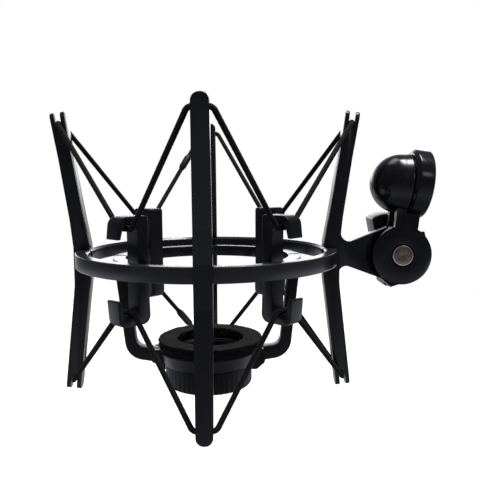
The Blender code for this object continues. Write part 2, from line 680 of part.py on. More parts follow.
# ---------------------------------------------------------------- elastic bands
def band_corners(groove, hook_height):
    """Corners of one band: level through each post groove and each hook, in turn round the ring."""
    stations = [(azimuth, groove[0], groove[1], BAND_LEVEL_AT_POST) for _, azimuth in QUARTERS]
    stations += [(azimuth, BAND_HOOK_RADIUS, hook_height, BAND_LEVEL_AT_HOOK) for _, azimuth in DIAGONALS]
    corners = []
    for azimuth, radius, height, level in sorted(stations):
        angle = math.radians(azimuth)
        outward = Vector((math.cos(angle), math.sin(angle), 0))
        onward = Vector((-math.sin(angle), math.cos(angle), 0))
        for side in (-1, 1):
            corners.append(outward * radius + onward * side * level + Vector((0, 0, height)))
    return corners


def build_band(name, frame, groove, hook_height):
    corners = band_corners(groove, hook_height)
    points = []
    for i, corner in enumerate(corners):
        points += corner_arc(corners[i - 1], corner, corners[(i + 1) % len(corners)], BAND_BEND_RADIUS, 3)
    curve = bpy.data.curves.new(name, "CURVE")
    curve.dimensions = "3D"
    curve.bevel_depth = BAND_RADIUS
    curve.bevel_resolution = 2
    curve.use_fill_caps = True
    spline = curve.splines.new("POLY")
    spline.points.add(len(points) - 1)
    for target, point in zip(spline.points, points):
        target.co = (*point, 1)
    spline.use_cyclic_u = True
    add(name, curve, frame, BRAID)
    return corners


def build_sleeve(name, frame, corners, place, length):
    """The sleeve over a band's joint, on its straight run from the back post to the back left hook."""
    start, end = corners[5], corners[6]
    inner = BAND_RADIUS + CLEARANCE
    half = length / 2
    profile = [(SLEEVE_RADIUS, -half), (SLEEVE_RADIUS, half), (inner, half), (inner, -half)]
    turn = (end - start).to_track_quat("Z", "Y").to_matrix().to_4x4()
    mesh = moved(turned(name, profile, 16), Matrix.Translation(start.lerp(end, place)) @ turn)
    add(name, mesh, frame, BRAID)


# ---------------------------------------------------------------- stand adapter and clamp
def ear_profile(facing):
    """Half section of one ear about the tilt axis. The front ear has a pocket for the barrel nut."""
    bore = STUD_RADIUS + CLEARANCE
    profile = [(bore, EAR_INSIDE), (EAR_RADIUS, EAR_INSIDE), (EAR_RADIUS, EAR_OUTSIDE - EAR_CHAMFER_DEPTH)]
    profile.append((EAR_FACE_RADIUS, EAR_OUTSIDE))
    if facing < 0:
        floor = NUT_BACK - CLEARANCE
        profile += [(NUT_POCKET_RADIUS, EAR_OUTSIDE), (NUT_POCKET_RADIUS, floor), (bore, floor)]
    else:
        profile.append((bore, EAR_OUTSIDE))
    return [(radius, facing * height) for radius, height in profile]


def build_adapter_body(adapter):
    """Two ears on necks under a dome whose spigot takes the collar and the threaded insert."""
    steps = 7
    dome = []
    for i in range(steps + 1):
        angle = math.pi / 2 * i / steps
        dome.append((DOME_RADIUS * math.sin(angle), DOME_CENTRE - DOME_RADIUS * math.cos(angle)))
    dome += [(DOME_RIM_RADIUS, DOME_RIM), (0, DOME_RIM)]
    at_socket = Matrix.Translation((0, 0, SOCKET_HEIGHT))
    dropped = Matrix.Translation((0, 0, SOCKET_HEIGHT - DOME_DROP))
    body = add("adapter_body", moved(along_x(turned("adapter_body", dome, 32)), dropped), adapter, GLOSS)
    neck = [(x, z) for x, z in zip((-1, 1, 1, -1), (NECK_START, NECK_START, NECK_TOP, NECK_TOP))]
    neck = [(x * NECK_HALF_WIDTH, z) for x, z in neck]
    for side, facing in (("front", -1), ("rear", 1)):
        near, far = sorted((facing * (EAR_INSIDE + NECK_SETBACK), facing * NECK_OUTSIDE))
        combine(body, "UNION", prism(f"neck_{side}", neck, near, far))
        ear = along_y(turned(f"ear_{side}", ear_profile(facing), 36))
        combine(body, "UNION", ear)
    collar_room = along_x(rod("collar_room", COLLAR_RADIUS + CLEARANCE, COLLAR_START - CLEARANCE, 0.010, 40))
    spigot = along_x(rod("spigot", SPIGOT_RADIUS, DOME_CENTRE, SPIGOT_END, 32))
    bore = along_x(rod("socket_bore", SOCKET_BORE_RADIUS, SOCKET_FLOOR, 0.010, 28))
    combine(body, "DIFFERENCE", moved(collar_room, at_socket))
    combine(body, "UNION", moved(spigot, at_socket))
    combine(body, "DIFFERENCE", moved(bore, at_socket))


def build_socket(adapter):
    at_socket = Matrix.Translation((0, 0, SOCKET_HEIGHT))
    inner = SPIGOT_RADIUS + CLEARANCE
    collar = [
        (COLLAR_RADIUS - COLLAR_BEVEL, COLLAR_START),
        (COLLAR_RADIUS, COLLAR_START + COLLAR_BEVEL),
        (COLLAR_RADIUS, MOUTH_REACH - COLLAR_EDGE),
        (COLLAR_RADIUS - COLLAR_EDGE, MOUTH_REACH),
        (inner, MOUTH_REACH),
        (inner, COLLAR_START),
    ]
    mesh = moved(along_x(turned("socket_collar", collar, 40)), at_socket)
    add("socket_collar", mesh, adapter, GLOSS)
    floor = SOCKET_FLOOR + CLEARANCE
    insert = [
        (INSERT_RADIUS, floor),
        (INSERT_RADIUS, INSERT_END),
        (INSERT_BORE_RADIUS + 0.0006, INSERT_END),
        (INSERT_BORE_RADIUS, INSERT_END - 0.0006),
        (INSERT_BORE_RADIUS, floor),
    ]
    mesh = moved(along_x(turned("thread_insert", insert, 28)), at_socket)
    add("thread_insert", mesh, adapter, BRASS)


def build_clamp_fixed(adapter):
    """The barrel nut in the front ear, and the friction washers between the ears and the tongue."""
    bore = STUD_RADIUS + CLEARANCE
    nut = [
        (0, -NUT_FRONT),
        (NUT_RADIUS - 0.0005, -NUT_FRONT),
        (NUT_RADIUS, -NUT_FRONT + 0.0005),
        (NUT_RADIUS, -NUT_BACK),
        (bore, -NUT_BACK),
        (bore, -STUD_FRONT - CLEARANCE),
        (0, -STUD_FRONT - CLEARANCE),
    ]
    add("barrel_nut", along_y(turned("barrel_nut", nut, 24)), adapter, STEEL)
    start = TONGUE_HALF_THICKNESS + CLEARANCE
    end = start + FRICTION_WASHER_THICKNESS
    for side, facing in (("front", -1), ("rear", 1)):
        outline = [(FRICTION_WASHER_RADIUS, start), (FRICTION_WASHER_RADIUS, end), (bore, end), (bore, start)]
        profile = [(radius, facing * height) for radius, height in outline]
        name = f"friction_washer_{side}"
        add(name, along_y(turned(name, profile, 24)), adapter, NYLON)
    start = EAR_OUTSIDE + CLEARANCE
    end = start + SPRING_WASHER_THICKNESS
    profile = [(SPRING_WASHER_RADIUS, start), (SPRING_WASHER_RADIUS, end), (bore, end), (bore, start)]
    add("spring_washer", along_y(turned("spring_washer", profile, 20)), adapter, BLACK_STEEL)


def build_clamp_knob(knob_axis):
    """A stud with a two-winged knob on its rear end. Both turn together."""
    stud = along_y(rod("clamp_stud", STUD_RADIUS, -STUD_FRONT, STUD_BACK, 16))
    add("clamp_stud", stud, knob_axis, BLACK_STEEL)
    end_angle = math.asin(WING_HALF_WIDTH * 0.72 / WING_RADIUS)
    outline = []
    for middle in (math.pi / 2, -math.pi / 2):
        side = math.copysign(1, middle)
        shoulder = WING_RADIUS * 0.93 * side
        outline.append((side * WING_HALF_WIDTH, shoulder))
        for i in range(5):
            angle = middle - end_angle + 2 * end_angle * i / 4
            outline.append((WING_RADIUS * math.cos(angle), WING_RADIUS * math.sin(angle)))
        outline.append((-side * WING_HALF_WIDTH, shoulder))
    knob = add("wing_knob", prism("wing_knob", outline, WING_START, WING_END), knob_axis, GLOSS)
    bevel = knob.modifiers.new("soft_edges", "BEVEL")
    bevel.width = 0.0009
    bevel.segments = 2
    bevel.limit_method = "ANGLE"
    bevel.angle_limit = math.radians(40)
    combine(knob, "UNION", along_y(rod("knob_hub", HUB_RADIUS, HUB_START, WING_START + 0.002, 24)))
    bore_end = STUD_BACK + CLEARANCE
    combine(knob, "DIFFERENCE", along_y(rod("knob_bore", STUD_RADIUS + CLEARANCE, 0.005, bore_end, 16)))


# ---------------------------------------------------------------- assembly
def main():
    for leftover in list(bpy.data.objects):
        bpy.data.objects.remove(leftover)
    lean = Matrix.Rotation(ADAPTER_LEAN, 3, "Y")
    mouth_from_pivot = lean @ Vector((MOUTH_REACH, 0, SOCKET_HEIGHT))
    pivot = -mouth_from_pivot
    stand_thread = add_empty("stand_thread")
    adapter = add_empty("tilt_axis", stand_thread, pivot, (0, ADAPTER_LEAN, 0))
    knob_axis = add_empty("knob_axis", stand_thread, pivot, (0, WING_TURN, 0))
    frame = add_empty("ring_centre", stand_thread, pivot - Vector((PIVOT_REACH, 0, 0)))
    basket = add_empty("basket_centre", frame)
    thread_axis = add_empty("thread_axis", basket)
    build_outer_ring(frame)
    build_posts(frame)
    build_post_screws(frame)
    build_basket_ring(basket)
    build_brackets(basket)
    build_yoke(basket)
    build_seat_boss(basket)
    build_foam_washer(basket)
    build_thread_ring(thread_axis)
    upper_corners = build_band("upper_band", frame, UPPER_GROOVE, UPPER_HOOK_HEIGHT)
    lower_corners = build_band("lower_band", frame, LOWER_GROOVE, LOWER_HOOK_HEIGHT)
    build_sleeve("upper_band_sleeve", frame, upper_corners, *UPPER_SLEEVE)
    build_sleeve("lower_band_sleeve", frame, lower_corners, *LOWER_SLEEVE)
    build_adapter_body(adapter)
    build_socket(adapter)
    build_clamp_fixed(adapter)
    build_clamp_knob(knob_axis)


main()
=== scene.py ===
"""Visual model of the elastic microphone shock mount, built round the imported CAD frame.

Lengths are metres in the row frame: +Z up, +X from the ring towards the stand socket, -Y towards the camera.
"""

import json
from math import acos, asin, copysign, cos, hypot, pi, radians, sin, tan

import bmesh
import bpy
import numpy as np
from mathutils import Matrix, Vector, noise


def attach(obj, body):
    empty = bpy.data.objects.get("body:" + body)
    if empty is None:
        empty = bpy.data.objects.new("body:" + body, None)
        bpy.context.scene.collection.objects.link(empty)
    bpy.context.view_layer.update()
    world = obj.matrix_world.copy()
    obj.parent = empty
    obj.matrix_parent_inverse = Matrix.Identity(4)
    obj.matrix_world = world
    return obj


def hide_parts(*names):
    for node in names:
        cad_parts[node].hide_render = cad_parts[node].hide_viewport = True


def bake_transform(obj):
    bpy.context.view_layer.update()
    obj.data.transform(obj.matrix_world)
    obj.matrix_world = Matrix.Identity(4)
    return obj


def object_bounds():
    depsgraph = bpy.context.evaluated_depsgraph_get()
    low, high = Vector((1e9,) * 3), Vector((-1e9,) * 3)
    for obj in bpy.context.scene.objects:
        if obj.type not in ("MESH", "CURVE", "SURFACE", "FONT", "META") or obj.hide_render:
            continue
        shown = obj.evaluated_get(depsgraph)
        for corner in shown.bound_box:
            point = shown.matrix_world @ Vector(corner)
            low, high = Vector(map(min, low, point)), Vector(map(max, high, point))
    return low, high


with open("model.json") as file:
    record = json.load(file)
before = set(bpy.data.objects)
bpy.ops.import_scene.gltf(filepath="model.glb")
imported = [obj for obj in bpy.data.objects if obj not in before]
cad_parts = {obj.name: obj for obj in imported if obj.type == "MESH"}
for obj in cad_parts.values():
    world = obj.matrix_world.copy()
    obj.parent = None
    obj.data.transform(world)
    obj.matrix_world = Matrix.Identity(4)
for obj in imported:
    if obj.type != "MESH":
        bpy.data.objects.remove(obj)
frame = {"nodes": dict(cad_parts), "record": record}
CAD_BOX = [list(corner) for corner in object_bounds()]

# Places of the three working frames: ring centre, tilt axis with the adapter's lean, and the knob on it.
ADAPTER_LEAN = radians(7.0)
SOCKET_HEIGHT = 0.0306
MOUTH_REACH = 0.0069
PIVOT_REACH = 0.0822
WING_TURN = radians(-11.0)
PIVOT = -(Matrix.Rotation(ADAPTER_LEAN, 3, "Y") @ Vector((MOUTH_REACH, 0, SOCKET_HEIGHT)))
RING_PLACE = Matrix.Translation(PIVOT - Vector((PIVOT_REACH, 0, 0)))
ADAPTER_PLACE = Matrix.Translation(PIVOT) @ Matrix.Rotation(ADAPTER_LEAN, 4, "Y")
KNOB_PLACE = Matrix.Translation(PIVOT) @ Matrix.Rotation(WING_TURN, 4, "Y")

QUARTERS = [("right", 0.0), ("back", 90.0), ("left", 180.0), ("front", 270.0)]
DIAGONALS = [("back_right", 45.0), ("back_left", 135.0), ("front_left", 225.0), ("front_right", 315.0)]

# An outline is a list of (across, up, corner radius). A turned section's "across" is its radius.
# SEAM keeps touching pieces apart. CUT_REACH carries a cutter past the solid it cuts.
SEAM = 0.0001
CUT_REACH = 0.01
RING_HALF_HEIGHT = 0.0030
RING_LAP_RADIUS = 0.0529
RING_CUT_RADIUS = 0.0650
RING_SECTION = [
    (0.0550, -RING_HALF_HEIGHT, 0.00055), (0.0550, RING_HALF_HEIGHT, 0.00050),
    (0.0507, RING_HALF_HEIGHT, 0.00020), (0.0497, 0.0020, 0.00020),
    (0.0497, -RING_HALF_HEIGHT, 0.00050)
]
POST_SCREW_POCKET = (0.0025, 0.0477, 0.0514)
POST_TOP = 0.0606
POST_BOTTOM = -0.0577
POST_TIP_HALF_WIDTH = 0.00305
POST_HALF_WIDTH = 0.00335
POST_BLANK_HALF_WIDTH = 0.006
POST_BLANK_REACH = (-0.080, -0.040)
POST_OUTER_EDGE = [
    (0.0613, 0.0410, 0.030), (0.0575, 0.0157, 0.010), (0.0563, 0.0040, 0.010),
    (0.0563, -0.0120, 0.015)
]
POST_INNER_ABOVE = [(0.0560, 0.0430, 0.030), (0.0516, 0.0158, 0.010)]
POST_INNER_BELOW = [(0.0496, -0.0095, 0.015)]
POST_INNER_RADIUS = 0.0496
POST_SHOULDER = (POST_INNER_RADIUS, 0.0049, 0.001)
POST_BEVEL = 0.00032
UPPER_GROOVE = (0.0609, 0.0558)
LOWER_GROOVE = (0.0581, -0.0533)
UPPER_LEAN = radians(8.8)
LOWER_LEAN = radians(6.5)
GROOVE_HALF_WIDTH = 0.0013
PRONG_OUTSIDE = 0.0030
PRONG_INSIDE = 0.0031
PRONG_LENGTH = 0.0048
PRONG_ROUNDING = 0.48
GROOVE_ROUNDING = 0.98
POST_TIP_ROUNDING = 0.97

ARM_HALF_THICKNESS = 0.0032
TONGUE_HALF_THICKNESS = 0.0026
TONGUE_RADIUS = 0.0123
TONGUE_RELIEF_RADIUS = 0.0129
TONGUE_START = radians(113)
TONGUE_MARK = (0.0600, 0.0)
TAB_ANGLES = (radians(42.7), radians(-104.6))
TAB_RADII = (0.01415, 0.0147)
ARM_ROOT_AND_WAIST = [
    (0.0545, 0.0125, 0.0), (0.0568, 0.0125, 0.0), (0.0567, 0.0038, 0.0039), (0.0766, 0.0117, 0.0),
    (*TONGUE_MARK, 0.0), (0.0744, -0.0105, 0.0), (0.0727, -0.0097, 0.0), (0.0561, -0.0035, 0.0031),
    (0.0560, -0.0115, 0.0), (0.0545, -0.0115, 0.0)
]

BASKET_RADIUS = 0.0398
BASKET_BORE_RADIUS = 0.0345
BASKET_TOP = 0.0002
BASKET_BOTTOM = -0.0047
BASKET_MIDDLE = (BASKET_TOP + BASKET_BOTTOM) / 2
BASKET_LAP_RADIUS = 0.0368
BASKET_CUT_RADIUS = 0.030
BASKET_EDGE = 0.0004
BRACKET_HALF_WIDTH = 0.0036
BRACKET_CUT_HALF_WIDTH = 0.005
BRACKET_SCREW_POCKET = (0.0021, 0.0387, 0.041)
BRACKET_BEVEL = 0.00040
BRACKET_OUTLINE = [
    (0.0337, -0.0229, 0.0034), (0.0481, -0.0229, 0.0034), (0.0490, -0.0125, 0.0004),
    (0.0473, -0.0125, 0.0004), (0.0457, -0.0192, 0.0026), (0.0393, -0.0192, 0.0026),
    (0.0393, 0.0155, 0.0026), (0.0456, 0.0155, 0.0026), (0.0469, 0.0104, 0.0004),
    (0.0486, 0.0104, 0.0004), (0.0476, 0.0189, 0.0036), (0.0343, 0.0189, 0.0012),
    (0.0343, -0.0080, 0.0)
]
YOKE_HALF_WIDTH = 0.00275
YOKE_OUTLINE = [
    (0.0394, -0.0050, 0.0), (0.0351, -0.0440, 0.0085), (0.0196, -0.0464, 0.0),
    (0.0196, -0.0406, 0.0), (0.0309, -0.0389, 0.0040), (0.0347, -0.0050, 0.0)
]
YOKE_BEVEL = 0.00035
YOKE_SCREW_REACH = 0.0369
YOKE_SINK_RADIUS = 0.0022
YOKE_SINK_DEPTH = 0.0014
SEAT_PIN_REACH = 0.0222
SEAT_PIN_HEIGHT = -0.0433
SEAT_PIN_HOLE_RADIUS = 0.0014
SEAT_SLOT = (0.0193, 0.030)
SEAT_SLOT_FLOOR = -0.0467
SEAT_CUT = (-0.060, -0.030)

BOSS_TOP = -0.0397
BOSS_BOTTOM = -0.0462
BOSS_TOP_RADIUS = 0.0212
BOSS_BOTTOM_RADIUS = 0.0196
BOSS_BORE_RADIUS = 0.0159
BOSS_RECESS_RADIUS = 0.0174
BOSS_RECESS_FLOOR = -0.0422
BOSS_STEPS = 128
BOSS_SECTION = [
    (BOSS_BOTTOM_RADIUS, BOSS_BOTTOM, 0.0004),
    (BOSS_TOP_RADIUS, BOSS_TOP - 0.0012, 0.0015),
    (BOSS_TOP_RADIUS - 0.0004, BOSS_TOP, 0.0003),
    (0, BOSS_TOP, 0.0),
    (0, BOSS_BOTTOM, 0.0),
]
LUG_HALF_WIDTH = 0.0050
RIGHT_LUG_OUTLINE = [
    (0.0165, -0.0400, 0.0), (0.0244, -0.0400, 0.0015), (0.0244, -0.0459, 0.0026),
    (0.0208, -0.0490, 0.0014), (0.0165, -0.0490, 0.0)
]
LEFT_LUG_OUTLINE = [
    (-0.0165, -0.0400, 0.0), (-0.0244, -0.0400, 0.0015), (-0.0244, -0.0457, 0.0016),
    (-0.0207, -0.0460, 0.0006), (-0.0188, -0.0486, 0.0008), (-0.0165, -0.0486, 0.0)
]
FOAM_TOP = -0.0353
FOAM_BOTTOM = -0.0394
FOAM_RADIUS = 0.0225
FOAM_HOLE_RADIUS = 0.0142
FOAM_OFFSET = 0.0008
FOAM_RIM = 0.0005
FOAM_MESH_SPACING = 0.00035
THREAD_RING_RADIUS = 0.0187
THREAD_RING_GAP = 0.0003
THREAD_RING_BOTTOM = -0.0561
THREAD_RING_CURVE = 0.0022
THREAD_RING_NECK_RADIUS = 0.0156
THREAD_RING_NECK_TOP = -0.0400
CIRCLIP_GROOVE = (0.0150, -0.0422, -0.0408)
KNURL_RIBS = 48
KNURL_DEPTH = 0.00032
THREAD_RADIUS = 0.0135
THREAD_PITCH = 0.0010
THREAD_DEPTH = 0.00055
THREAD_ROWS = 112

BAND_RADIUS = 0.00108
BAND_SIDES = 16
BAND_SPACING = 0.00032
BAND_YARN_PITCH = 0.0030
BAND_BEND_RADIUS = 0.0024
BAND_HOOK_RADIUS = 0.0423
BAND_LEVEL_AT_POST = 0.0041
BAND_LEVEL_AT_HOOK = 0.0041
UPPER_HOOK_HEIGHT = 0.0141
LOWER_HOOK_HEIGHT = -0.0178
SLEEVE_RADIUS = 0.00175
SLEEVE_BORE_RADIUS = 0.00113
SLEEVE_STEP = 0.0011
# A sleeve's place along its stretch of band, from 0 to 1, and its length.
UPPER_SLEEVE = (0.36, 0.0085)
LOWER_SLEEVE = (0.42, 0.0115)

EAR_RADIUS = 0.0125
EAR_FACE_RADIUS = 0.0104
EAR_INSIDE = 0.0037
EAR_OUTSIDE = 0.0076
EAR_CHAMFER_DEPTH = 0.0008
NECK_HALF_WIDTH = 0.0049
NECK_START = 0.0062
NECK_TOP = 0.0240
NECK_OUTSIDE = 0.0072
DOME_RADIUS = 0.0126
DOME_CENTRE = -0.0035
DOME_DROP = 0.0009
DOME_RIM_RADIUS = 0.0130
DOME_RIM = -0.0012
DOME_RIM_WIDTH = 0.0006
ADAPTER_BEVEL = 0.00030
SPIGOT_RADIUS = 0.0112
SPIGOT_END = 0.0062
COLLAR_RADIUS = 0.0144
COLLAR_START = -0.0006
COLLAR_BEVEL = 0.0014
SOCKET_BORE_RADIUS = 0.0099
SOCKET_FLOOR = -0.0075
INSERT_RADIUS = 0.0096
INSERT_BORE_RADIUS = 0.0076
INSERT_END = 0.0059
INSERT_PITCH = 0.00094
INSERT_THREAD_DEPTH = 0.00045
INSERT_ROWS = 120
STUD_RADIUS = 0.0025
STUD_BORE_RADIUS = STUD_RADIUS + 0.0003
NUT_RADIUS = 0.0045
NUT_RIM_RADIUS = 0.0039
NUT_POCKET_RADIUS = 0.0049
NUT_FRONT = 0.0081
NUT_BACK = 0.0047
NUT_BORE_START = 0.0072
HUB_RADIUS = 0.0070
HUB_START = 0.0090
WING_START = 0.0120
WING_END = 0.0262
WING_RADIUS = 0.0167
WING_HALF_WIDTH = 0.0055
WING_END_SHARE = 0.72
WING_SHOULDER_SHARE = 0.93
WING_BEVEL = 0.0009
HUB_OVERLAP = 0.002
STUD_BACK = 0.0180

FLOOR_RADIUS = 1.4
FLOOR_HEIGHT = -0.30
FLOOR_STEPS = 96
# How bright the room looks in reflections: (level, shade) from straight down, -1, to straight up, 1.
# One list is for the camera's side of the room, one for left and right, and one for behind the object.
FRONT_SHADES = [
    (-1.0, 0.20), (-0.85, 0.25), (-0.65, 0.52), (-0.30, 0.30), (-0.12, 0.16), (0.06, 0.11), (1.0, 0.11)
]
SIDE_SHADES = [
    (-1.0, 0.20), (-0.85, 0.25), (-0.60, 0.70), (-0.28, 1.50), (-0.16, 0.20), (-0.03, 0.13), (1.0, 0.12)
]
BACK_SHADES = [
    (-1.0, 0.25), (-0.20, 0.60), (0.03, 0.90), (0.09, 3.60), (0.25, 3.00), (0.45, 0.80), (1.0, 0.80)
]
COOL = (0.94, 0.97, 1.10)
NEUTRAL = (1.0, 1.0, 1.02)
# Where along Y the front gives way to the sides, and the sides to the back.
FRONT_TO_SIDE = (-0.75, -0.15)
SIDE_TO_BACK = (0.70, 0.95)
SUN_POWER = 3.4
SUN_SPREAD = radians(70)
SUN_TILT = radians(8)
AREA_LIGHTS = [
    ("overhead_right", (0.19, 0.05, 0.88), 0.34, 0.22, 6.5),
    ("overhead_left", (-0.16, 0.27, 0.85), 0.40, 0.30, 1.3),
    ("front_right", (0.34, -0.71, 0.44), 0.16, 0.16, 0.25),
]
CAMERA_PLACE = (-0.08498, -0.2558, 0.00367)
CAMERA_HEADING = radians(1.38)
CAMERA_PITCH = radians(-5.98)
CAMERA_ROLL = radians(-0.38)
CAMERA_LENS = 45.0
CAMERA_SENSOR = 36.0


# ---- scene tools
def placed(name, data):
    """A new object in the scene."""
    made = bpy.data.objects.new(name, data)
    bpy.context.scene.collection.objects.link(made)
    return made


def set_inputs(node, values):
    for key, value in dict(values).items():
        node.inputs[key].default_value = value


def new_node(tree, kind, inputs=(), **settings):
    """A shader node with its settings, and constants on its inputs."""
    made = tree.nodes.new(f"ShaderNode{kind}")
    for key, value in settings.items():
        setattr(made, key, value)
    set_inputs(made, inputs)
    return made


# ---- mesh tools
def finished(shape):
    """The built shape as a mesh, with merged points and outward faces."""
    bmesh.ops.remove_doubles(shape, verts=shape.verts, dist=1e-7)
    bmesh.ops.recalc_face_normals(shape, faces=shape.faces)
    mesh = bpy.data.meshes.new("mesh")
    shape.to_mesh(mesh)
    shape.free()
    return mesh


def corner_arc(before, here, after, radius, steps):
    """Points of the arc that rounds the corner at `here` between its two neighbours."""
    back = (before - here).normalized()
    onward = (after - here).normalized()
    half = back.angle(onward) / 2
    centre = here + (back + onward).normalized() * radius / sin(half)
    start = here + back * radius / tan(half) - centre
    end = here + onward * radius / tan(half) - centre
    turn = pi - 2 * half
    points = []
    for i in range(steps + 1):
        share = i / steps
        blend = start * sin(turn * (1 - share)) + end * sin(turn * share)
        points.append(centre + blend / sin(turn))
    return points


def rounded(corners, steps=8):
    """The points of an outline, each corner rounded by its radius. A radius of 0 stays sharp."""
    places = [Vector(corner[:2]) for corner in corners]
    points = []
    for i, (_, _, radius) in enumerate(corners):
        if radius == 0:
            points.append(places[i])
        else:
            after = places[(i + 1) % len(places)]
            points += corner_arc(places[i - 1], places[i], after, radius, steps)
    return points


def prism(outline, near, far):
    """A solid with this outline in X and Z, from y = near to y = far."""
    shape = bmesh.new()
    ends = [[shape.verts.new((point[0], y, point[1])) for point in outline] for y in (near, far)]
    for i in range(len(outline)):
        shape.faces.new((ends[0][i - 1], ends[0][i], ends[1][i], ends[1][i - 1]))
    for end in ends:
        shape.faces.new(end)
    return finished(shape)


def turned(profile, steps, warp=None):
    """The closed (radius, height) profile turned about Z. `warp` gives a point's new radius and height."""
    shape = bmesh.new()
    turns = []
    for i in range(steps):
        angle = 2 * pi * i / steps
        row = []
        for r, z in profile:
            if warp:
                r, z = warp(angle, r, z)
            row.append(shape.verts.new((r * cos(angle), r * sin(angle), z)))
        turns.append(row)
    for i in range(steps):
        for j in range(len(profile)):
            corners = (turns[i - 1][j - 1], turns[i - 1][j], turns[i][j], turns[i][j - 1])
            if profile[j - 1][0] > 0 or profile[j][0] > 0:
                shape.faces.new(corners)
    bmesh.ops.remove_doubles(shape, verts=shape.verts, dist=1e-7)
    bmesh.ops.dissolve_degenerate(shape, edges=shape.edges, dist=1e-7)
    return finished(shape)


def moved(mesh, matrix):
    mesh.transform(matrix)
    return mesh


def rod(radius, start, end, steps=48):
    return turned([(0, start), (radius, start), (radius, end), (0, end)], steps)


def block(low, high):
    outline = [(low[0], low[2]), (high[0], low[2]), (high[0], high[2]), (low[0], high[2])]
    return prism(outline, low[1], high[1])


def along_x(mesh):
    return moved(mesh, Matrix.Rotation(radians(90), 4, "Y"))


def along_y(mesh):
    return moved(mesh, Matrix.Rotation(radians(-90), 4, "X"))


def spin(azimuth):
    return Matrix.Rotation(radians(azimuth), 4, "Z")


def cut(*meshes):
    """Boolean steps that cut these away."""
    return [("DIFFERENCE", mesh) for mesh in meshes]


def join(*meshes):
    """Boolean steps that add these."""
    return [("UNION", mesh) for mesh in meshes]


def sculpted(name, mesh, steps, bevel=0.0, segments=3, limit=28.0, solver="EXACT"):
    """The mesh after Boolean steps of (operation, mesh), and a bevel of its sharp edges."""
    piece = placed(name, mesh)
    helpers = []
    for operation, other in steps:
        helper = placed(f"{name}_helper", other)
        helpers.append(helper)
        modifier = piece.modifiers.new("shape", "BOOLEAN")
        modifier.operation = operation
        modifier.solver = solver
        modifier.object = helper
    weld = piece.modifiers.new("weld", "WELD")
    weld.merge_threshold = 2e-6
    if bevel:
        soft = piece.modifiers.new("bevel", "BEVEL")
        soft.width = bevel
        soft.segments = segments
        soft.limit_method = "ANGLE"
        soft.angle_limit = radians(limit)
        soft.use_clamp_overlap = True
        soft.harden_normals = False
    bpy.context.view_layer.update()
    graph = bpy.context.evaluated_depsgraph_get()
    result = bpy.data.meshes.new_from_object(piece.evaluated_get(graph))
    if not result.vertices:
        raise RuntimeError(f"{name} came out empty")
    bpy.data.objects.remove(piece)
    for helper in helpers:
        bpy.data.objects.remove(helper)
    return result


def add(name, mesh, body, material, nodes, place=RING_PLACE, smooth=32.0):
    """A visible piece, held inside the CAD box. It stands for CAD nodes, and rides on a body if given."""
    mesh.transform(place)
    for vertex in mesh.vertices:
        vertex.co = [min(max(value, low), high) for value, low, high in zip(vertex.co, *CAD_BOX)]
    mesh.name = name
    mesh.shade_smooth()
    mesh.set_sharp_from_angle(angle=radians(smooth))
    piece = placed(name, mesh)
    mesh.materials.clear()
    mesh.materials.append(material)
    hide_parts(*nodes)
    if body:
        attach(piece, body)
    return piece


# ---- materials
class Shader:
    """A Principled material with short calls for the nodes that feed it."""

    def __init__(self, name, colour, roughness, inputs=()):
        self.material = bpy.data.materials.new(name)
        self.material.use_nodes = True
        self.tree = self.material.node_tree
        self.surface = self.tree.nodes["Principled BSDF"]
        set_inputs(self.surface, {"Base Color": (*colour, 1), "Roughness": roughness, **dict(inputs)})
        self.coordinates = self.node("TexCoord")

    def node(self, kind, inputs=(), **settings):
        return new_node(self.tree, kind, inputs, **settings)

    def link(self, source, target):
        self.tree.links.new(source, target)

    def noise(self, scale, detail=2.0, roughness=0.5):
        made = self.node("TexNoise", {"Scale": scale, "Detail": detail, "Roughness": roughness})
        self.link(self.coordinates.outputs["Object"], made.inputs["Vector"])
        return made.outputs["Fac"]

    def cells(self, scale):
        made = self.node("TexVoronoi", {"Scale": scale})
        self.link(self.coordinates.outputs["Object"], made.inputs["Vector"])
        return made.outputs["Distance"]

    def ranged(self, source, low, high, start=0.0, end=1.0):
        """The source mapped from start..end to low..high."""
        made = self.node("MapRange", {"From Min": start, "From Max": end, "To Min": low, "To Max": high})
        self.link(source, made.inputs["Value"])
        return made.outputs["Result"]

    def maths(self, operation, first, second):
        made = self.node("Math", operation=operation)
        for socket, value in zip(made.inputs, (first, second)):
            if isinstance(value, (int, float)):
                socket.default_value = value
            else:
                self.link(value, socket)
        return made.outputs["Value"]

    def mixed(self, share, first, second):
        made = self.node("Mix", data_type="RGBA")
        self.link(share, made.inputs["Factor"])
        for socket, value in ((made.inputs["A"], first), (made.inputs["B"], second)):
            if isinstance(value, tuple):
                socket.default_value = (*value, 1)
            else:
                self.link(value, socket)
        return made.outputs["Result"]

    def colour(self, source):
        self.link(source, self.surface.inputs["Base Color"])

    def rough(self, source):
        self.link(source, self.surface.inputs["Roughness"])

    def bump(self, *layers):
        """Each layer is (height, strength, distance)."""
        normal = None
        for height, strength, distance in layers:
            made = self.node("Bump", {"Strength": strength, "Distance": distance})
            self.link(height, made.inputs["Height"])
            if normal:
                self.link(normal, made.inputs["Normal"])
            normal = made.outputs["Normal"]
        self.link(normal, self.surface.inputs["Normal"])


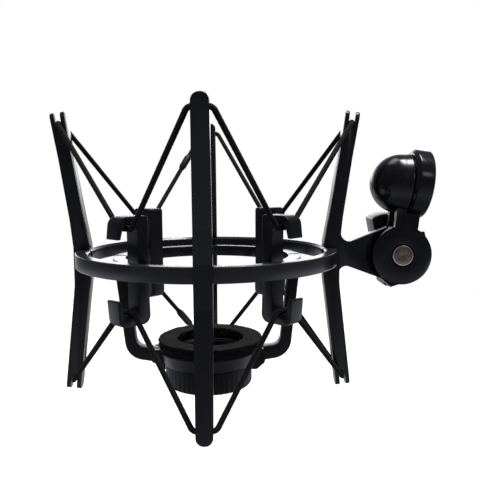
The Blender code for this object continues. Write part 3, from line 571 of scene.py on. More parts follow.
def make_paint(name, colour, lighter, roughness, grain, specular=0.42):
    """Satin enamel: an even grain, cloudy sheen, a few light dots that are partly dust and partly painted
    glints.
    """
    paint = Shader(name, colour, roughness, {"Specular IOR Level": specular})
    clouds = paint.noise(70.0, 3.0, 0.6)
    grain_height = paint.noise(3200.0, 2.0)
    peel = paint.noise(650.0, 1.0)
    tint = paint.mixed(paint.ranged(clouds, 0.0, 1.0, 0.3, 0.7), colour, lighter)
    # Light dots on the paint: partly dust, partly painted glints.
    dust_and_glint_specks = paint.ranged(paint.cells(260.0), 1.0, 0.0, 0.035, 0.06)
    paint.colour(paint.mixed(paint.maths("MULTIPLY", dust_and_glint_specks, 0.25), tint, (0.05, 0.05, 0.05)))
    spread = paint.ranged(clouds, roughness - 0.05, roughness + 0.06, 0.25, 0.75)
    paint.rough(paint.maths("ADD", spread, paint.ranged(grain_height, -0.03, 0.03)))
    paint.bump((peel, 0.10, 0.00006), (grain_height, grain, 0.00002))
    return paint.material


def make_enamel(name, colour, lighter, roughness, specular=0.40):
    """Glossy stoved enamel over a casting: long soft waves, small pits."""
    enamel = Shader(name, colour, roughness, {"Specular IOR Level": specular})
    waves = enamel.noise(160.0, 2.0)
    fine = enamel.noise(2400.0, 2.0)
    enamel.colour(enamel.mixed(enamel.ranged(waves, 0.0, 1.0, 0.35, 0.65), colour, lighter))
    smears = enamel.noise(90.0, 4.0, 0.65)
    enamel.rough(enamel.ranged(smears, roughness - 0.06, roughness + 0.10, 0.3, 0.7))
    enamel.bump((waves, 0.16, 0.00012), (fine, 0.10, 0.00002))
    return enamel.material


def make_foam():
    """Foam rubber: crumbs, and pores darkened with painted shade."""
    foam = Shader("foam_rubber", (0.004, 0.004, 0.004), 0.95, {"Specular IOR Level": 0.18})
    pores = foam.cells(1500.0)
    crumbs = foam.noise(900.0, 4.0, 0.7)
    crumbly = foam.ranged(crumbs, 0.0, 1.0, 0.40, 0.75)
    tint = foam.mixed(crumbly, (0.0022, 0.0022, 0.0024), (0.0085, 0.0075, 0.0068))
    # Painted shade: the colour goes darkest at the middle of each pore.
    foam.colour(foam.mixed(foam.ranged(pores, 1.0, 0.0, 0.0, 0.35), tint, (0.001, 0.001, 0.001)))
    foam.rough(foam.ranged(crumbs, 0.86, 1.0))
    foam.bump((crumbs, 0.6, 0.0003), (pores, 0.8, 0.0002))
    return foam.material


def make_braid():
    """Woven cover: crossing yarns laid out by the piece's UV map, which runs round in u and along in v."""
    yarns_round = 8
    levels = {"Specular IOR Level": 0.22, "Sheen Weight": 0.03, "Sheen Roughness": 0.5}
    braid = Shader("braided_elastic", (0.008, 0.008, 0.008), 0.8, levels)
    parts = braid.node("SeparateXYZ")
    braid.link(braid.coordinates.outputs["UV"], parts.inputs["Vector"])
    heights = []
    for sign in (1.0, -1.0):
        slant = braid.maths("ADD", parts.outputs["X"], braid.maths("MULTIPLY", parts.outputs["Y"], sign))
        wave = braid.maths("SINE", braid.maths("MULTIPLY", slant, 2 * pi * yarns_round), 0.0)
        heights.append(braid.ranged(wave, 0.0, 1.0, -1.0, 1.0))
    weave_and_gap_shade = braid.maths("MAXIMUM", heights[0], heights[1])
    fuzz = braid.noise(5200.0, 3.0)
    # Painted shade: the gaps between the yarns are coloured darker than the yarns' crests.
    braid.colour(braid.mixed(weave_and_gap_shade, (0.0012, 0.0012, 0.0014), (0.0052, 0.0052, 0.0056)))
    braid.rough(braid.ranged(fuzz, 0.62, 0.92))
    braid.bump((weave_and_gap_shade, 0.7, 0.00015), (fuzz, 0.5, 0.00005))
    return braid.material


def make_steel(name, colour, darker, roughness, ring_scale, centre):
    """Turned steel: fine rings about the tilt axis, with stains."""
    steel = Shader(name, colour, roughness, {"Metallic": 1.0})
    shifted = steel.node("Mapping", {"Location": -Vector(centre)})
    steel.link(steel.coordinates.outputs["Object"], shifted.inputs["Vector"])
    levels = {"Scale": ring_scale, "Distortion": 0.6, "Detail": 2.0}
    rings = steel.node("TexWave", levels, wave_type="RINGS", rings_direction="Y")
    steel.link(shifted.outputs["Vector"], rings.inputs["Vector"])
    stains = steel.noise(500.0, 4.0, 0.65)
    steel.colour(steel.mixed(steel.ranged(stains, 0.0, 1.0, 0.35, 0.7), colour, darker))
    steel.rough(steel.ranged(stains, roughness - 0.06, roughness + 0.14, 0.3, 0.7))
    steel.bump((rings.outputs["Fac"], 0.12, 0.00003), (stains, 0.06, 0.00005))
    return steel.material


def make_plain_metal(name, colour, roughness):
    """Metal with faint darker stains."""
    metal = Shader(name, colour, roughness, {"Metallic": 1.0})
    stains = metal.noise(700.0, 4.0, 0.6)
    darker = tuple(0.6 * c for c in colour)
    metal.colour(metal.mixed(metal.ranged(stains, 0.0, 1.0, 0.3, 0.7), colour, darker))
    metal.rough(metal.ranged(stains, roughness - 0.08, roughness + 0.10, 0.3, 0.7))
    metal.bump((metal.noise(3000.0, 2.0), 0.15, 0.00003))
    return metal.material


def make_nylon():
    """Washers' nylon: pale and faintly cloudy."""
    nylon = Shader("nylon", (0.30, 0.30, 0.29), 0.5, {"Subsurface Weight": 0.05})
    clouds = nylon.noise(300.0, 3.0)
    nylon.colour(nylon.mixed(clouds, (0.24, 0.24, 0.23), (0.34, 0.34, 0.32)))
    nylon.rough(nylon.ranged(clouds, 0.42, 0.6))
    nylon.bump((nylon.noise(2500.0, 2.0), 0.15, 0.00003))
    return nylon.material


PAINT = make_paint("satin_paint", (0.0042, 0.0044, 0.0064), (0.0056, 0.0058, 0.0084), 0.20, 0.25)
# The ring's paint is the satin paint made lighter: painted light for the light that falls on the ring's
# front.
LIT_RING_PAINT = make_paint("ring_paint_painted_light", (0.0115, 0.0116, 0.0150), (0.0150, 0.0151, 0.0190), 0.22, 0.25)
CASTING = make_paint("cast_paint", (0.0046, 0.0048, 0.0068), (0.0064, 0.0066, 0.0092), 0.34, 0.40, 0.28)
ENAMEL = make_enamel("gloss_enamel", (0.0030, 0.0031, 0.0048), (0.0044, 0.0045, 0.0066), 0.19)
KNURL = make_enamel("knurled_paint", (0.0020, 0.0021, 0.0030), (0.0030, 0.0031, 0.0044), 0.46, 0.20)
PLASTIC = make_enamel("knob_plastic", (0.0040, 0.0040, 0.0048), (0.0055, 0.0055, 0.0066), 0.30)
FOAM = make_foam()
BRAID = make_braid()
SLEEVE_RUBBER = make_enamel("sleeve_rubber", (0.0040, 0.0040, 0.0044), (0.0070, 0.0070, 0.0074), 0.42)
NUT_STEEL = make_steel("turned_steel", (0.42, 0.32, 0.235), (0.20, 0.145, 0.10), 0.22, 900.0, PIVOT)
# Bright steel for the nut's chamfer: polished, and its brightness also stands in for the rim's highlight, a
# painted highlight.
RIM_STEEL_AND_HIGHLIGHT = make_plain_metal("polished_rim_and_painted_highlight", (0.95, 0.93, 0.90), 0.25)
SCREW_STEEL = make_plain_metal("black_oxide", (0.030, 0.030, 0.034), 0.36)
BRASS = make_plain_metal("machined_brass", (0.60, 0.44, 0.20), 0.28)
NYLON = make_nylon()


# ---- outer frame
def post_outline():
    """Side view of a post: both forked tips, and the notch that laps over the ring."""

    def fork(groove, lean, up):
        onward = Vector((sin(lean), up * cos(lean)))
        outward = Vector((cos(lean), -up * sin(lean)))
        outer_round = (PRONG_OUTSIDE - GROOVE_HALF_WIDTH) * PRONG_ROUNDING
        inner_round = (PRONG_INSIDE - GROOVE_HALF_WIDTH) * PRONG_ROUNDING
        groove_round = GROOVE_HALF_WIDTH * GROOVE_ROUNDING
        local = [
            (PRONG_OUTSIDE, PRONG_LENGTH, outer_round),
            (GROOVE_HALF_WIDTH, PRONG_LENGTH, outer_round),
            (GROOVE_HALF_WIDTH, -GROOVE_HALF_WIDTH, groove_round),
            (-GROOVE_HALF_WIDTH, -GROOVE_HALF_WIDTH, groove_round),
            (-GROOVE_HALF_WIDTH, PRONG_LENGTH, inner_round),
            (-PRONG_INSIDE, PRONG_LENGTH, inner_round),
        ]
        places = [(Vector(groove) + outward * across + onward * along, r) for across, along, r in local]
        return [(place.x, place.y, r) for place, r in places]

    notch = RING_HALF_HEIGHT + SEAM
    lap = RING_LAP_RADIUS + SEAM
    inner = POST_INNER_RADIUS
    ring_notch = [(inner, notch, 0.0), (lap, notch, 0.0), (lap, -notch, 0.0), (inner, -notch, 0.0)]
    inner_edge = POST_INNER_ABOVE + [POST_SHOULDER] + ring_notch + POST_INNER_BELOW
    upper_fork = fork(UPPER_GROOVE, UPPER_LEAN, 1)
    lower_fork = fork(LOWER_GROOVE, LOWER_LEAN, -1)
    return rounded(upper_fork + inner_edge + lower_fork[::-1] + POST_OUTER_EDGE[::-1], 6)


def post_front_view():
    """What a post fills seen from the front: widest at the ring, its round ends square to its tips."""
    top = POST_TIP_HALF_WIDTH
    right_side = [
        (top, POST_TOP, top * POST_TIP_ROUNDING),
        (POST_HALF_WIDTH, RING_HALF_HEIGHT, 0.0),
        (POST_HALF_WIDTH, -RING_HALF_HEIGHT, 0.0),
        (top, POST_BOTTOM, top * POST_TIP_ROUNDING),
    ]
    left_side = [(-across, up, radius) for across, up, radius in right_side]
    outline = rounded(right_side + left_side[::-1], 8)
    mesh = moved(prism(outline, *POST_BLANK_REACH), spin(90))
    for vertex in mesh.vertices:
        if vertex.co.z > 2 * RING_HALF_HEIGHT:
            vertex.co.z -= (vertex.co.x - UPPER_GROOVE[0]) * tan(UPPER_LEAN)
        elif vertex.co.z < -2 * RING_HALF_HEIGHT:
            vertex.co.z += (vertex.co.x - LOWER_GROOVE[0]) * tan(LOWER_LEAN)
    return mesh


def arm_outline():
    """Front view of the arm and its tongue: a waist at the post, a round tongue with two corner tabs."""

    def round_the_pivot(start, end, count):
        angles = [start + (end - start) * i / count for i in range(count + 1)]
        return [(PIVOT_REACH + TONGUE_RADIUS * cos(a), TONGUE_RADIUS * sin(a)) for a in angles]

    def tab(angle, radius):
        return [(PIVOT_REACH + radius * cos(angle), radius * sin(angle))]

    tab_flat = TAB_RADII[0] * sin(TAB_ANGLES[0])
    first_touch = TAB_ANGLES[0] - acos(TONGUE_RADIUS / TAB_RADII[0])
    second_touch = TAB_ANGLES[1] + acos(TONGUE_RADIUS / TAB_RADII[1])
    root_and_top = rounded(ARM_ROOT_AND_WAIST, 10)
    split = root_and_top.index(Vector(TONGUE_MARK))
    over = round_the_pivot(TONGUE_START, asin(tab_flat / TONGUE_RADIUS), 16)
    under = round_the_pivot(first_touch, second_touch, 36)
    tongue = over + tab(TAB_ANGLES[0], TAB_RADII[0]) + under + tab(TAB_ANGLES[1], TAB_RADII[1])
    return [*root_and_top[:split], *map(Vector, tongue), *root_and_top[split + 1 :]]


def build_frame():
    """The outer ring, and the four posts that lap over it."""
    cuts = []
    half = POST_HALF_WIDTH + SEAM
    for _, azimuth in QUARTERS:
        notch = block((RING_LAP_RADIUS, -half, -CUT_REACH), (RING_CUT_RADIUS, half, CUT_REACH))
        pocket = along_x(rod(*POST_SCREW_POCKET, 32))
        cuts += cut(moved(notch, spin(azimuth)), moved(pocket, spin(azimuth)))
    ring = sculpted("outer_ring_fine", turned(rounded(RING_SECTION, 4), 240), cuts)
    # The ring wears the lighter copy of the paint, which is painted light.
    add("outer_ring_fine", ring, "frame", LIT_RING_PAINT, ["outer_ring"])
    for side, azimuth in QUARTERS:
        name = f"post_{side}_fine"
        steps = [("INTERSECT", post_front_view())]
        if side == "right":
            steps += join(prism(arm_outline(), -ARM_HALF_THICKNESS, ARM_HALF_THICKNESS))
            at_pivot = Matrix.Translation((PIVOT_REACH, 0, 0))
            for facing in (-1, 1):
                near, far = sorted((facing * TONGUE_HALF_THICKNESS, facing * POST_BLANK_HALF_WIDTH))
                relief = along_y(rod(TONGUE_RELIEF_RADIUS, near, far, 96))
                steps += cut(moved(relief, at_pivot))
            bore = along_y(rod(STUD_BORE_RADIUS, -CUT_REACH, CUT_REACH))
            steps += cut(moved(bore, at_pivot))
        blank = prism(post_outline(), -POST_BLANK_HALF_WIDTH, POST_BLANK_HALF_WIDTH)
        mesh = sculpted(name, blank, steps, POST_BEVEL, 2)
        add(name, moved(mesh, spin(azimuth)), "frame", PAINT, [f"post_{side}"])


# ---- basket
def build_basket():
    """The inner ring, the four hook brackets and the two yoke arms."""
    corners = [(BASKET_RADIUS, BASKET_BOTTOM), (BASKET_RADIUS, BASKET_TOP)]
    corners += [(BASKET_BORE_RADIUS, BASKET_TOP), (BASKET_BORE_RADIUS, BASKET_BOTTOM)]
    profile = rounded([(*corner, BASKET_EDGE) for corner in corners], 4)
    cuts = []
    half = BRACKET_HALF_WIDTH + SEAM
    for _, azimuth in DIAGONALS:
        place = spin(azimuth) @ Matrix.Translation((0, 0, BASKET_MIDDLE))
        notch = block((BASKET_CUT_RADIUS, -half, -CUT_REACH), (BASKET_LAP_RADIUS, half, CUT_REACH))
        pocket = along_x(rod(*BRACKET_SCREW_POCKET, 32))
        cuts += cut(moved(notch, place), moved(pocket, place))
    for reach in (YOKE_SCREW_REACH, -YOKE_SCREW_REACH):
        sink = rod(YOKE_SINK_RADIUS, BASKET_TOP - YOKE_SINK_DEPTH, CUT_REACH, 32)
        cuts += cut(moved(sink, Matrix.Translation((reach, 0, 0))))
    ring = sculpted("basket_ring_fine", turned(profile, 200), cuts, solver="MANIFOLD")
    add("basket_ring_fine", ring, "basket", PAINT, ["basket_ring"])
    half_notch = (BASKET_TOP - BASKET_BOTTOM) / 2 + SEAM
    for side, azimuth in DIAGONALS:
        name = f"hook_bracket_{side}_fine"
        blank = prism(rounded(BRACKET_OUTLINE), -BRACKET_HALF_WIDTH, BRACKET_HALF_WIDTH)
        low = (BASKET_LAP_RADIUS - SEAM, -BRACKET_CUT_HALF_WIDTH, BASKET_MIDDLE - half_notch)
        high = (BASKET_RADIUS + 2 * SEAM, BRACKET_CUT_HALF_WIDTH, BASKET_MIDDLE + half_notch)
        mesh = sculpted(name, blank, cut(block(low, high)), BRACKET_BEVEL)
        add(name, moved(mesh, spin(azimuth)), "basket", CASTING, [f"hook_bracket_{side}"])
    for side, azimuth in (("right", 0.0), ("left", 180.0)):
        name = f"yoke_arm_{side}_fine"
        mesh = prism(rounded(YOKE_OUTLINE, 12), -YOKE_HALF_WIDTH, YOKE_HALF_WIDTH)
        mesh = sculpted(name, mesh, [], YOKE_BEVEL)
        add(name, moved(mesh, spin(azimuth)), "basket", CASTING, [f"yoke_arm_{side}"])


def build_seat():
    """The seat boss: bored for the thread ring, and slotted at both sides for the yoke arms."""
    lugs = [rounded(outline) for outline in (RIGHT_LUG_OUTLINE, LEFT_LUG_OUTLINE)]
    steps = join(*(prism(outline, -LUG_HALF_WIDTH, LUG_HALF_WIDTH) for outline in lugs))
    below, above = SEAT_CUT
    room_radius = THREAD_RING_RADIUS + THREAD_RING_GAP
    steps += cut(
        rod(BOSS_BORE_RADIUS, below, above, BOSS_STEPS),
        rod(BOSS_RECESS_RADIUS, BOSS_RECESS_FLOOR, above, BOSS_STEPS),
        rod(room_radius, below, BOSS_BOTTOM + SEAM / 4, BOSS_STEPS),
    )
    half = YOKE_HALF_WIDTH + SEAM
    for side in (1, -1):
        low, high = sorted(side * end for end in SEAT_SLOT)
        slot = block((low, -half, SEAT_SLOT_FLOOR), (high, half, above))
        pin_hole = along_y(rod(SEAT_PIN_HOLE_RADIUS, -CUT_REACH, CUT_REACH, 24))
        place = Matrix.Translation((side * SEAT_PIN_REACH, 0, SEAT_PIN_HEIGHT))
        steps += cut(slot, moved(pin_hole, place))
    # Half a step of turn keeps the body's edges off the cutters' edges, so that the cuts stay closed.
    half_step = Matrix.Rotation(pi / BOSS_STEPS, 4, "Z")
    blank = moved(turned(rounded(BOSS_SECTION, 4), BOSS_STEPS), half_step)
    mesh = sculpted("seat_boss_fine", blank, steps)
    add("seat_boss_fine", mesh, "basket", CASTING, ["seat_boss"])


def build_foam():
    """A washer cut by hand from foam sheet: a lumpy top, and torn and nicked rims."""
    corners = [
        (FOAM_RADIUS - 0.0004, FOAM_BOTTOM, FOAM_RIM),
        (FOAM_RADIUS, FOAM_TOP - 0.0002, FOAM_RIM),
        (FOAM_HOLE_RADIUS, FOAM_TOP - 0.0003, FOAM_RIM),
        (FOAM_HOLE_RADIUS + 0.0003, FOAM_BOTTOM, FOAM_RIM),
    ]
    coarse = rounded(corners, 3)
    profile = []
    for i, point in enumerate(coarse):
        after = coarse[(i + 1) % len(coarse)]
        count = max(1, round((after - point).length / FOAM_MESH_SPACING))
        profile += [point.lerp(after, k / count) for k in range(count)]

    def warp(angle, r, z):
        here = Vector((r * cos(angle), r * sin(angle), z))
        big = noise.noise(here * 260.0)
        small = noise.noise(here * 900.0)
        fine = noise.noise(here * 2100.0)
        edge = min(1.0, abs(r - (FOAM_RADIUS + FOAM_HOLE_RADIUS) / 2) / 0.0041)
        torn = 0.00032 * big + 0.00030 * small + 0.00016 * fine
        lumps = 0.00016 * big + 0.00014 * small + 0.00008 * fine
        lifted = z + lumps * (1 if z > FOAM_BOTTOM + 0.0008 else 0.2)
        wander = noise.noise(Vector((cos(angle), sin(angle), z * 60)) * 3.2)
        if edge > 0.97:
            nick = max(0.0, noise.noise(Vector((cos(angle), sin(angle), z * 400)) * 9.0) - 0.10)
            r += copysign(1, FOAM_HOLE_RADIUS + 0.004 - r) * nick * 0.0012
        return r + (torn + 0.0005 * wander) * edge ** 4, lifted

    mesh = turned(profile, 300, warp)
    place = RING_PLACE @ Matrix.Translation((FOAM_OFFSET, 0, 0))
    foam = add("foam_washer_fine", mesh, "basket", FOAM, ["foam_washer"], place, 60.0)


def thread_wave(angle, height, pitch):
    """Height of a thread with flat roots and crests: 0 at the root and 1 at the crest."""
    turn = (height / pitch - angle / (2 * pi)) % 1.0
    return min(1.0, max(0.0, 1.25 - 2.5 * abs(turn - 0.5)))


def build_thread_ring():
    """The knurled ring under the seat, with its inside thread cut into the wall."""
    shoulder = BOSS_BOTTOM - THREAD_RING_GAP
    groove_radius, groove_bottom, groove_top = CIRCLIP_GROOVE
    corners = [
        (THREAD_RADIUS + 0.0006, THREAD_RING_BOTTOM, 0.0),
        (THREAD_RING_RADIUS, THREAD_RING_BOTTOM, THREAD_RING_CURVE),
        (THREAD_RING_RADIUS, shoulder, 0.0003),
        (THREAD_RING_NECK_RADIUS, shoulder, 0.0),
        (THREAD_RING_NECK_RADIUS, groove_bottom, 0.0),
        (groove_radius, groove_bottom, 0.0),
        (groove_radius, groove_top, 0.0),
        (THREAD_RING_NECK_RADIUS, groove_top, 0.0),
        (THREAD_RING_NECK_RADIUS, THREAD_RING_NECK_TOP, 0.0),
        (THREAD_RADIUS + 0.0006, THREAD_RING_NECK_TOP, 0.0),
    ]
    outside = rounded(corners, 8)
    top = -0.0404
    bottom = THREAD_RING_BOTTOM + 0.0005
    heights = [top + (bottom - top) * i / THREAD_ROWS for i in range(THREAD_ROWS + 1)]
    bore = [Vector((THREAD_RADIUS + 0.0003, height)) for height in heights]

    def warp(angle, r, z):
        if r > THREAD_RING_RADIUS - 0.0021 and z < shoulder - 0.0004:
            groove = max(0.0, cos(KNURL_RIBS * angle)) ** 3
            reach = min(1.0, (r - THREAD_RING_RADIUS + 0.0021) / 0.0014)
            return r - KNURL_DEPTH * groove * reach, z
        if r < THREAD_RADIUS + 0.0005:
            ends = min(1.0, (z - THREAD_RING_BOTTOM) / 0.0012, (THREAD_RING_NECK_TOP - z) / 0.0012)
            return r - THREAD_DEPTH * thread_wave(angle, z, THREAD_PITCH) * max(0.0, ends), z
        return r, z

    mesh = turned(outside + bore, KNURL_RIBS * 6, warp)
    add("thread_ring_fine", mesh, "thread_ring", KNURL, ["thread_ring"], smooth=40.0)


# ---- elastic bands
def band_corners(groove, hook_height):
    """Corners of a band's zig-zag, two at each post's groove and two at each hook."""
    stations = [(azimuth, groove[0], groove[1], BAND_LEVEL_AT_POST) for _, azimuth in QUARTERS]
    stations += [(azimuth, BAND_HOOK_RADIUS, hook_height, BAND_LEVEL_AT_HOOK) for _, azimuth in DIAGONALS]
    corners = []
    for azimuth, radius, height, level in sorted(stations):
        angle = radians(azimuth)
        outward = Vector((cos(angle), sin(angle), 0))
        onward = Vector((-sin(angle), cos(angle), 0))
        for side in (-1, 1):
            corners.append(outward * radius + onward * side * level + Vector((0, 0, height)))
    return corners


def resampled(points, spacing):
    """Points an even distance apart round the closed line."""
    loop = np.array([*points, points[0]], float)
    lengths = np.linalg.norm(np.diff(loop, axis=0), axis=1)
    along = np.concatenate([[0], np.cumsum(lengths)])
    count = int(round(along[-1] / spacing))
    places = np.arange(count) * along[-1] / count
    return np.stack([np.interp(places, along, loop[:, k]) for k in range(3)], axis=1), along[-1]


def band_mesh(points, radius):
    """A braided tube along the closed line, with yarns that cross over each other."""
    sides = BAND_SIDES
    line, length = resampled(points, BAND_SPACING)
    count = len(line)
    forward = np.roll(line, -1, axis=0) - np.roll(line, 1, axis=0)
    forward /= np.linalg.norm(forward, axis=1)[:, None]
    across = np.cross(forward, (0, 0, 1))
    across /= np.linalg.norm(across, axis=1)[:, None]
    over = np.cross(across, forward)
    turns = round(length / BAND_YARN_PITCH)
    verts = np.empty((count, sides, 3))
    for k in range(sides):
        angle = 2 * pi * k / sides
        along = np.arange(count) / count * turns * 2 * pi
        crossing = np.maximum(np.sin(4 * angle + 4 * along), np.sin(4 * angle - 4 * along))
        reach = radius * (0.965 + 0.035 * crossing)
        verts[:, k] = line + reach[:, None] * (cos(angle) * across + sin(angle) * over)
    index = np.arange(count * sides).reshape(count, sides)
    after = np.roll(index, -1, axis=0)
    beside = np.roll(index, -1, axis=1)
    faces = np.stack([index, beside, np.roll(after, -1, axis=1), after], axis=-1).reshape(-1, 4)
    mesh = bpy.data.meshes.new("band")
    mesh.from_pydata(verts.reshape(-1, 3).tolist(), [], faces.tolist())
    layer = mesh.uv_layers.new(name="braid")
    around = np.tile(np.arange(sides), count)[faces % (count * sides)] / sides
    lengthwise = np.repeat(np.arange(count), sides)[faces] / count * turns
    around[:, 1:3] = np.where(around[:, 1:3] < around[:, 0:1], 1.0, around[:, 1:3])
    lengthwise[:, 2:4] = np.where(lengthwise[:, 2:4] < lengthwise[:, 0:1], turns, lengthwise[:, 2:4])
    layer.data.foreach_set("uv", np.stack([around, lengthwise], axis=-1).reshape(-1).astype(np.float32))
    shape = bmesh.new()
    shape.from_mesh(mesh)
    bmesh.ops.recalc_face_normals(shape, faces=shape.faces)
    shape.to_mesh(mesh)
    shape.free()
    return mesh


def build_band(name, groove, hook_height, sleeve_place, sleeve_length):
    """One band and the sleeve on its joint. Both stretch between the frame and the basket."""
    corners = band_corners(groove, hook_height)
    points = []
    for i, corner in enumerate(corners):
        points += corner_arc(corners[i - 1], corner, corners[(i + 1) % len(corners)], BAND_BEND_RADIUS, 8)
    mesh = band_mesh(points, BAND_RADIUS)
    band = add(f"{name}_fine", mesh, None, BRAID, [name], smooth=180.0)
    start, end = corners[5], corners[6]
    sleeve = turned(sleeve_profile(sleeve_length), 40, crimped)
    turn = (end - start).to_track_quat("Z", "Y").to_matrix().to_4x4()
    sleeve.transform(Matrix.Translation(start.lerp(end, sleeve_place)) @ turn)
    nodes = [f"{name}_sleeve"]
    tube = add(f"{name}_sleeve_fine", sleeve, None, SLEEVE_RUBBER, nodes, smooth=50.0)
    for piece in (band, tube):
        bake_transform(piece)


def crimped(angle, r, z):
    """Slight flats and ripples where the sleeve has been pressed onto the band."""
    return r * (1 - 0.025 * cos(2 * angle) * cos(z * 900)), z


def sleeve_profile(length):
    """Half section of a sleeve: a straight tube with a stepped lip at each end."""
    half = length / 2
    lip = SLEEVE_RADIUS * 0.80
    step = half - SLEEVE_STEP
    corners = [(SLEEVE_BORE_RADIUS, -half, 0.0), (lip, -half, 0.0002), (lip, -step, 0.0002)]
    corners += [(SLEEVE_RADIUS, -step, 0.0003), (SLEEVE_RADIUS * 0.97, 0.0, 0.0)]
    corners.append((SLEEVE_RADIUS, step, 0.0003))
    corners += [(lip, step, 0.0002), (lip, half, 0.0002), (SLEEVE_BORE_RADIUS, half, 0.0)]
    return rounded(corners, 3)


# ---- stand adapter and clamp
def build_adapter():
    """The fork, neck and socket dome in one casting, with its collar and threaded insert."""
    quarter = 24
    dome = []
    for i in range(quarter + 1):
        angle = pi / 2 * i / quarter
        dome.append((DOME_RADIUS * sin(angle), DOME_CENTRE - DOME_RADIUS * cos(angle)))
    dome += [(DOME_RIM_RADIUS, DOME_RIM - DOME_RIM_WIDTH), (DOME_RIM_RADIUS, DOME_RIM), (0, DOME_RIM)]
    at_socket = Matrix.Translation((0, 0, SOCKET_HEIGHT))
    body = moved(along_x(turned(dome, 112)), Matrix.Translation((0, 0, SOCKET_HEIGHT - DOME_DROP)))
    neck = [(-NECK_HALF_WIDTH, NECK_START), (NECK_HALF_WIDTH, NECK_START)]
    neck += [(NECK_HALF_WIDTH, NECK_TOP), (-NECK_HALF_WIDTH, NECK_TOP)]
    bore = STUD_BORE_RADIUS
    steps = []
    for facing in (-1, 1):
        near, far = sorted((facing * (EAR_INSIDE + SEAM), facing * NECK_OUTSIDE))
        steps += join(prism(neck, near, far))
        ear = [(bore, EAR_INSIDE), (EAR_RADIUS, EAR_INSIDE), (EAR_RADIUS, EAR_OUTSIDE - EAR_CHAMFER_DEPTH)]
        ear.append((EAR_FACE_RADIUS, EAR_OUTSIDE))
        if facing < 0:
            floor = NUT_BACK - 0.0003
            ear += [(NUT_POCKET_RADIUS, EAR_OUTSIDE), (NUT_POCKET_RADIUS, floor), (bore, floor)]
        else:
            ear.append((bore, EAR_OUTSIDE))
        profile = [(radius, facing * height) for radius, height in ear]
        steps += join(along_y(turned(profile, 112)))
    room = along_x(rod(COLLAR_RADIUS + 2 * SEAM, COLLAR_START - 2 * SEAM, CUT_REACH, 112))
    spigot = along_x(rod(SPIGOT_RADIUS, DOME_CENTRE, SPIGOT_END, 96))
    socket = along_x(rod(SOCKET_BORE_RADIUS, SOCKET_FLOOR, CUT_REACH, 80))
    steps += cut(moved(room, at_socket)) + join(moved(spigot, at_socket)) + cut(moved(socket, at_socket))
    mesh = sculpted("adapter_body_fine", body, steps, ADAPTER_BEVEL, 3, 35.0)
    nodes = ["adapter_body"]
    add("adapter_body_fine", mesh, "stand_adapter", ENAMEL, nodes, ADAPTER_PLACE, 35.0)
    corners = [
        (SPIGOT_RADIUS + SEAM, COLLAR_START, 0.0),
        (COLLAR_RADIUS - COLLAR_BEVEL, COLLAR_START, 0.0004),
        (COLLAR_RADIUS, COLLAR_START + COLLAR_BEVEL, 0.0009),
        (COLLAR_RADIUS, MOUTH_REACH, 0.0006),
        (SPIGOT_RADIUS + SEAM, MOUTH_REACH, 0.0002),
    ]
    mesh = moved(along_x(turned(rounded(corners, 5), 128)), at_socket)
    add("socket_collar_fine", mesh, "stand_adapter", ENAMEL, ["socket_collar"], ADAPTER_PLACE)
    floor = SOCKET_FLOOR + 0.0003
    top = INSERT_END - 0.0002
    outside = [(INSERT_BORE_RADIUS + 0.0004, floor), (INSERT_RADIUS, floor), (INSERT_RADIUS, INSERT_END)]
    outside.append((INSERT_BORE_RADIUS + 0.0006, INSERT_END))
    levels = [top + (floor + 0.0003 - top) * i / INSERT_ROWS for i in range(INSERT_ROWS + 1)]
    inside = [(INSERT_BORE_RADIUS + 0.0002, level) for level in levels]

    def threaded(angle, r, z):
        if r > INSERT_BORE_RADIUS + 0.0003:
            return r, z
        ends = max(0.0, min(1.0, (INSERT_END - z) / 0.0010))
        return r - INSERT_THREAD_DEPTH * thread_wave(angle, z, INSERT_PITCH) * ends, z

    mesh = moved(along_x(turned(outside + inside, 96, threaded)), at_socket)
    add("thread_insert_fine", mesh, "stand_adapter", BRASS, ["thread_insert"], ADAPTER_PLACE)


def build_nut():
    """End of the barrel nut: a chamfered rim and a small turning dimple."""
    nut = [
        (0, -NUT_FRONT + 0.00045),
        (0.00025, -NUT_FRONT + 0.00030),
        (0.00045, -NUT_FRONT + 0.00004),
        (0.00060, -NUT_FRONT),
        (NUT_RIM_RADIUS, -NUT_FRONT),
        (NUT_RADIUS - 0.00028, -NUT_FRONT + 0.00010),
        (NUT_RADIUS - 0.00010, -NUT_FRONT + 0.00032),
        (NUT_RADIUS, -NUT_FRONT + 0.00065),
        (NUT_RADIUS, -NUT_BACK),
        (STUD_BORE_RADIUS, -NUT_BACK),
        (STUD_BORE_RADIUS, -NUT_BORE_START),
        (0, -NUT_BORE_START),
    ]
    mesh = along_y(turned(nut, 72))
    centres = [face.center for face in mesh.polygons]
    rim = [i for i, centre in enumerate(centres) if hypot(centre.x, centre.z) > NUT_RIM_RADIUS]
    nodes = ["barrel_nut"]
    piece = add("barrel_nut_fine", mesh, "stand_adapter", NUT_STEEL, nodes, ADAPTER_PLACE, 25.0)
    # The chamfer faces take the bright rim steel, partly a painted highlight.
    piece.data.materials.append(RIM_STEEL_AND_HIGHLIGHT)
    for i in rim:
        piece.data.polygons[i].material_index = 1


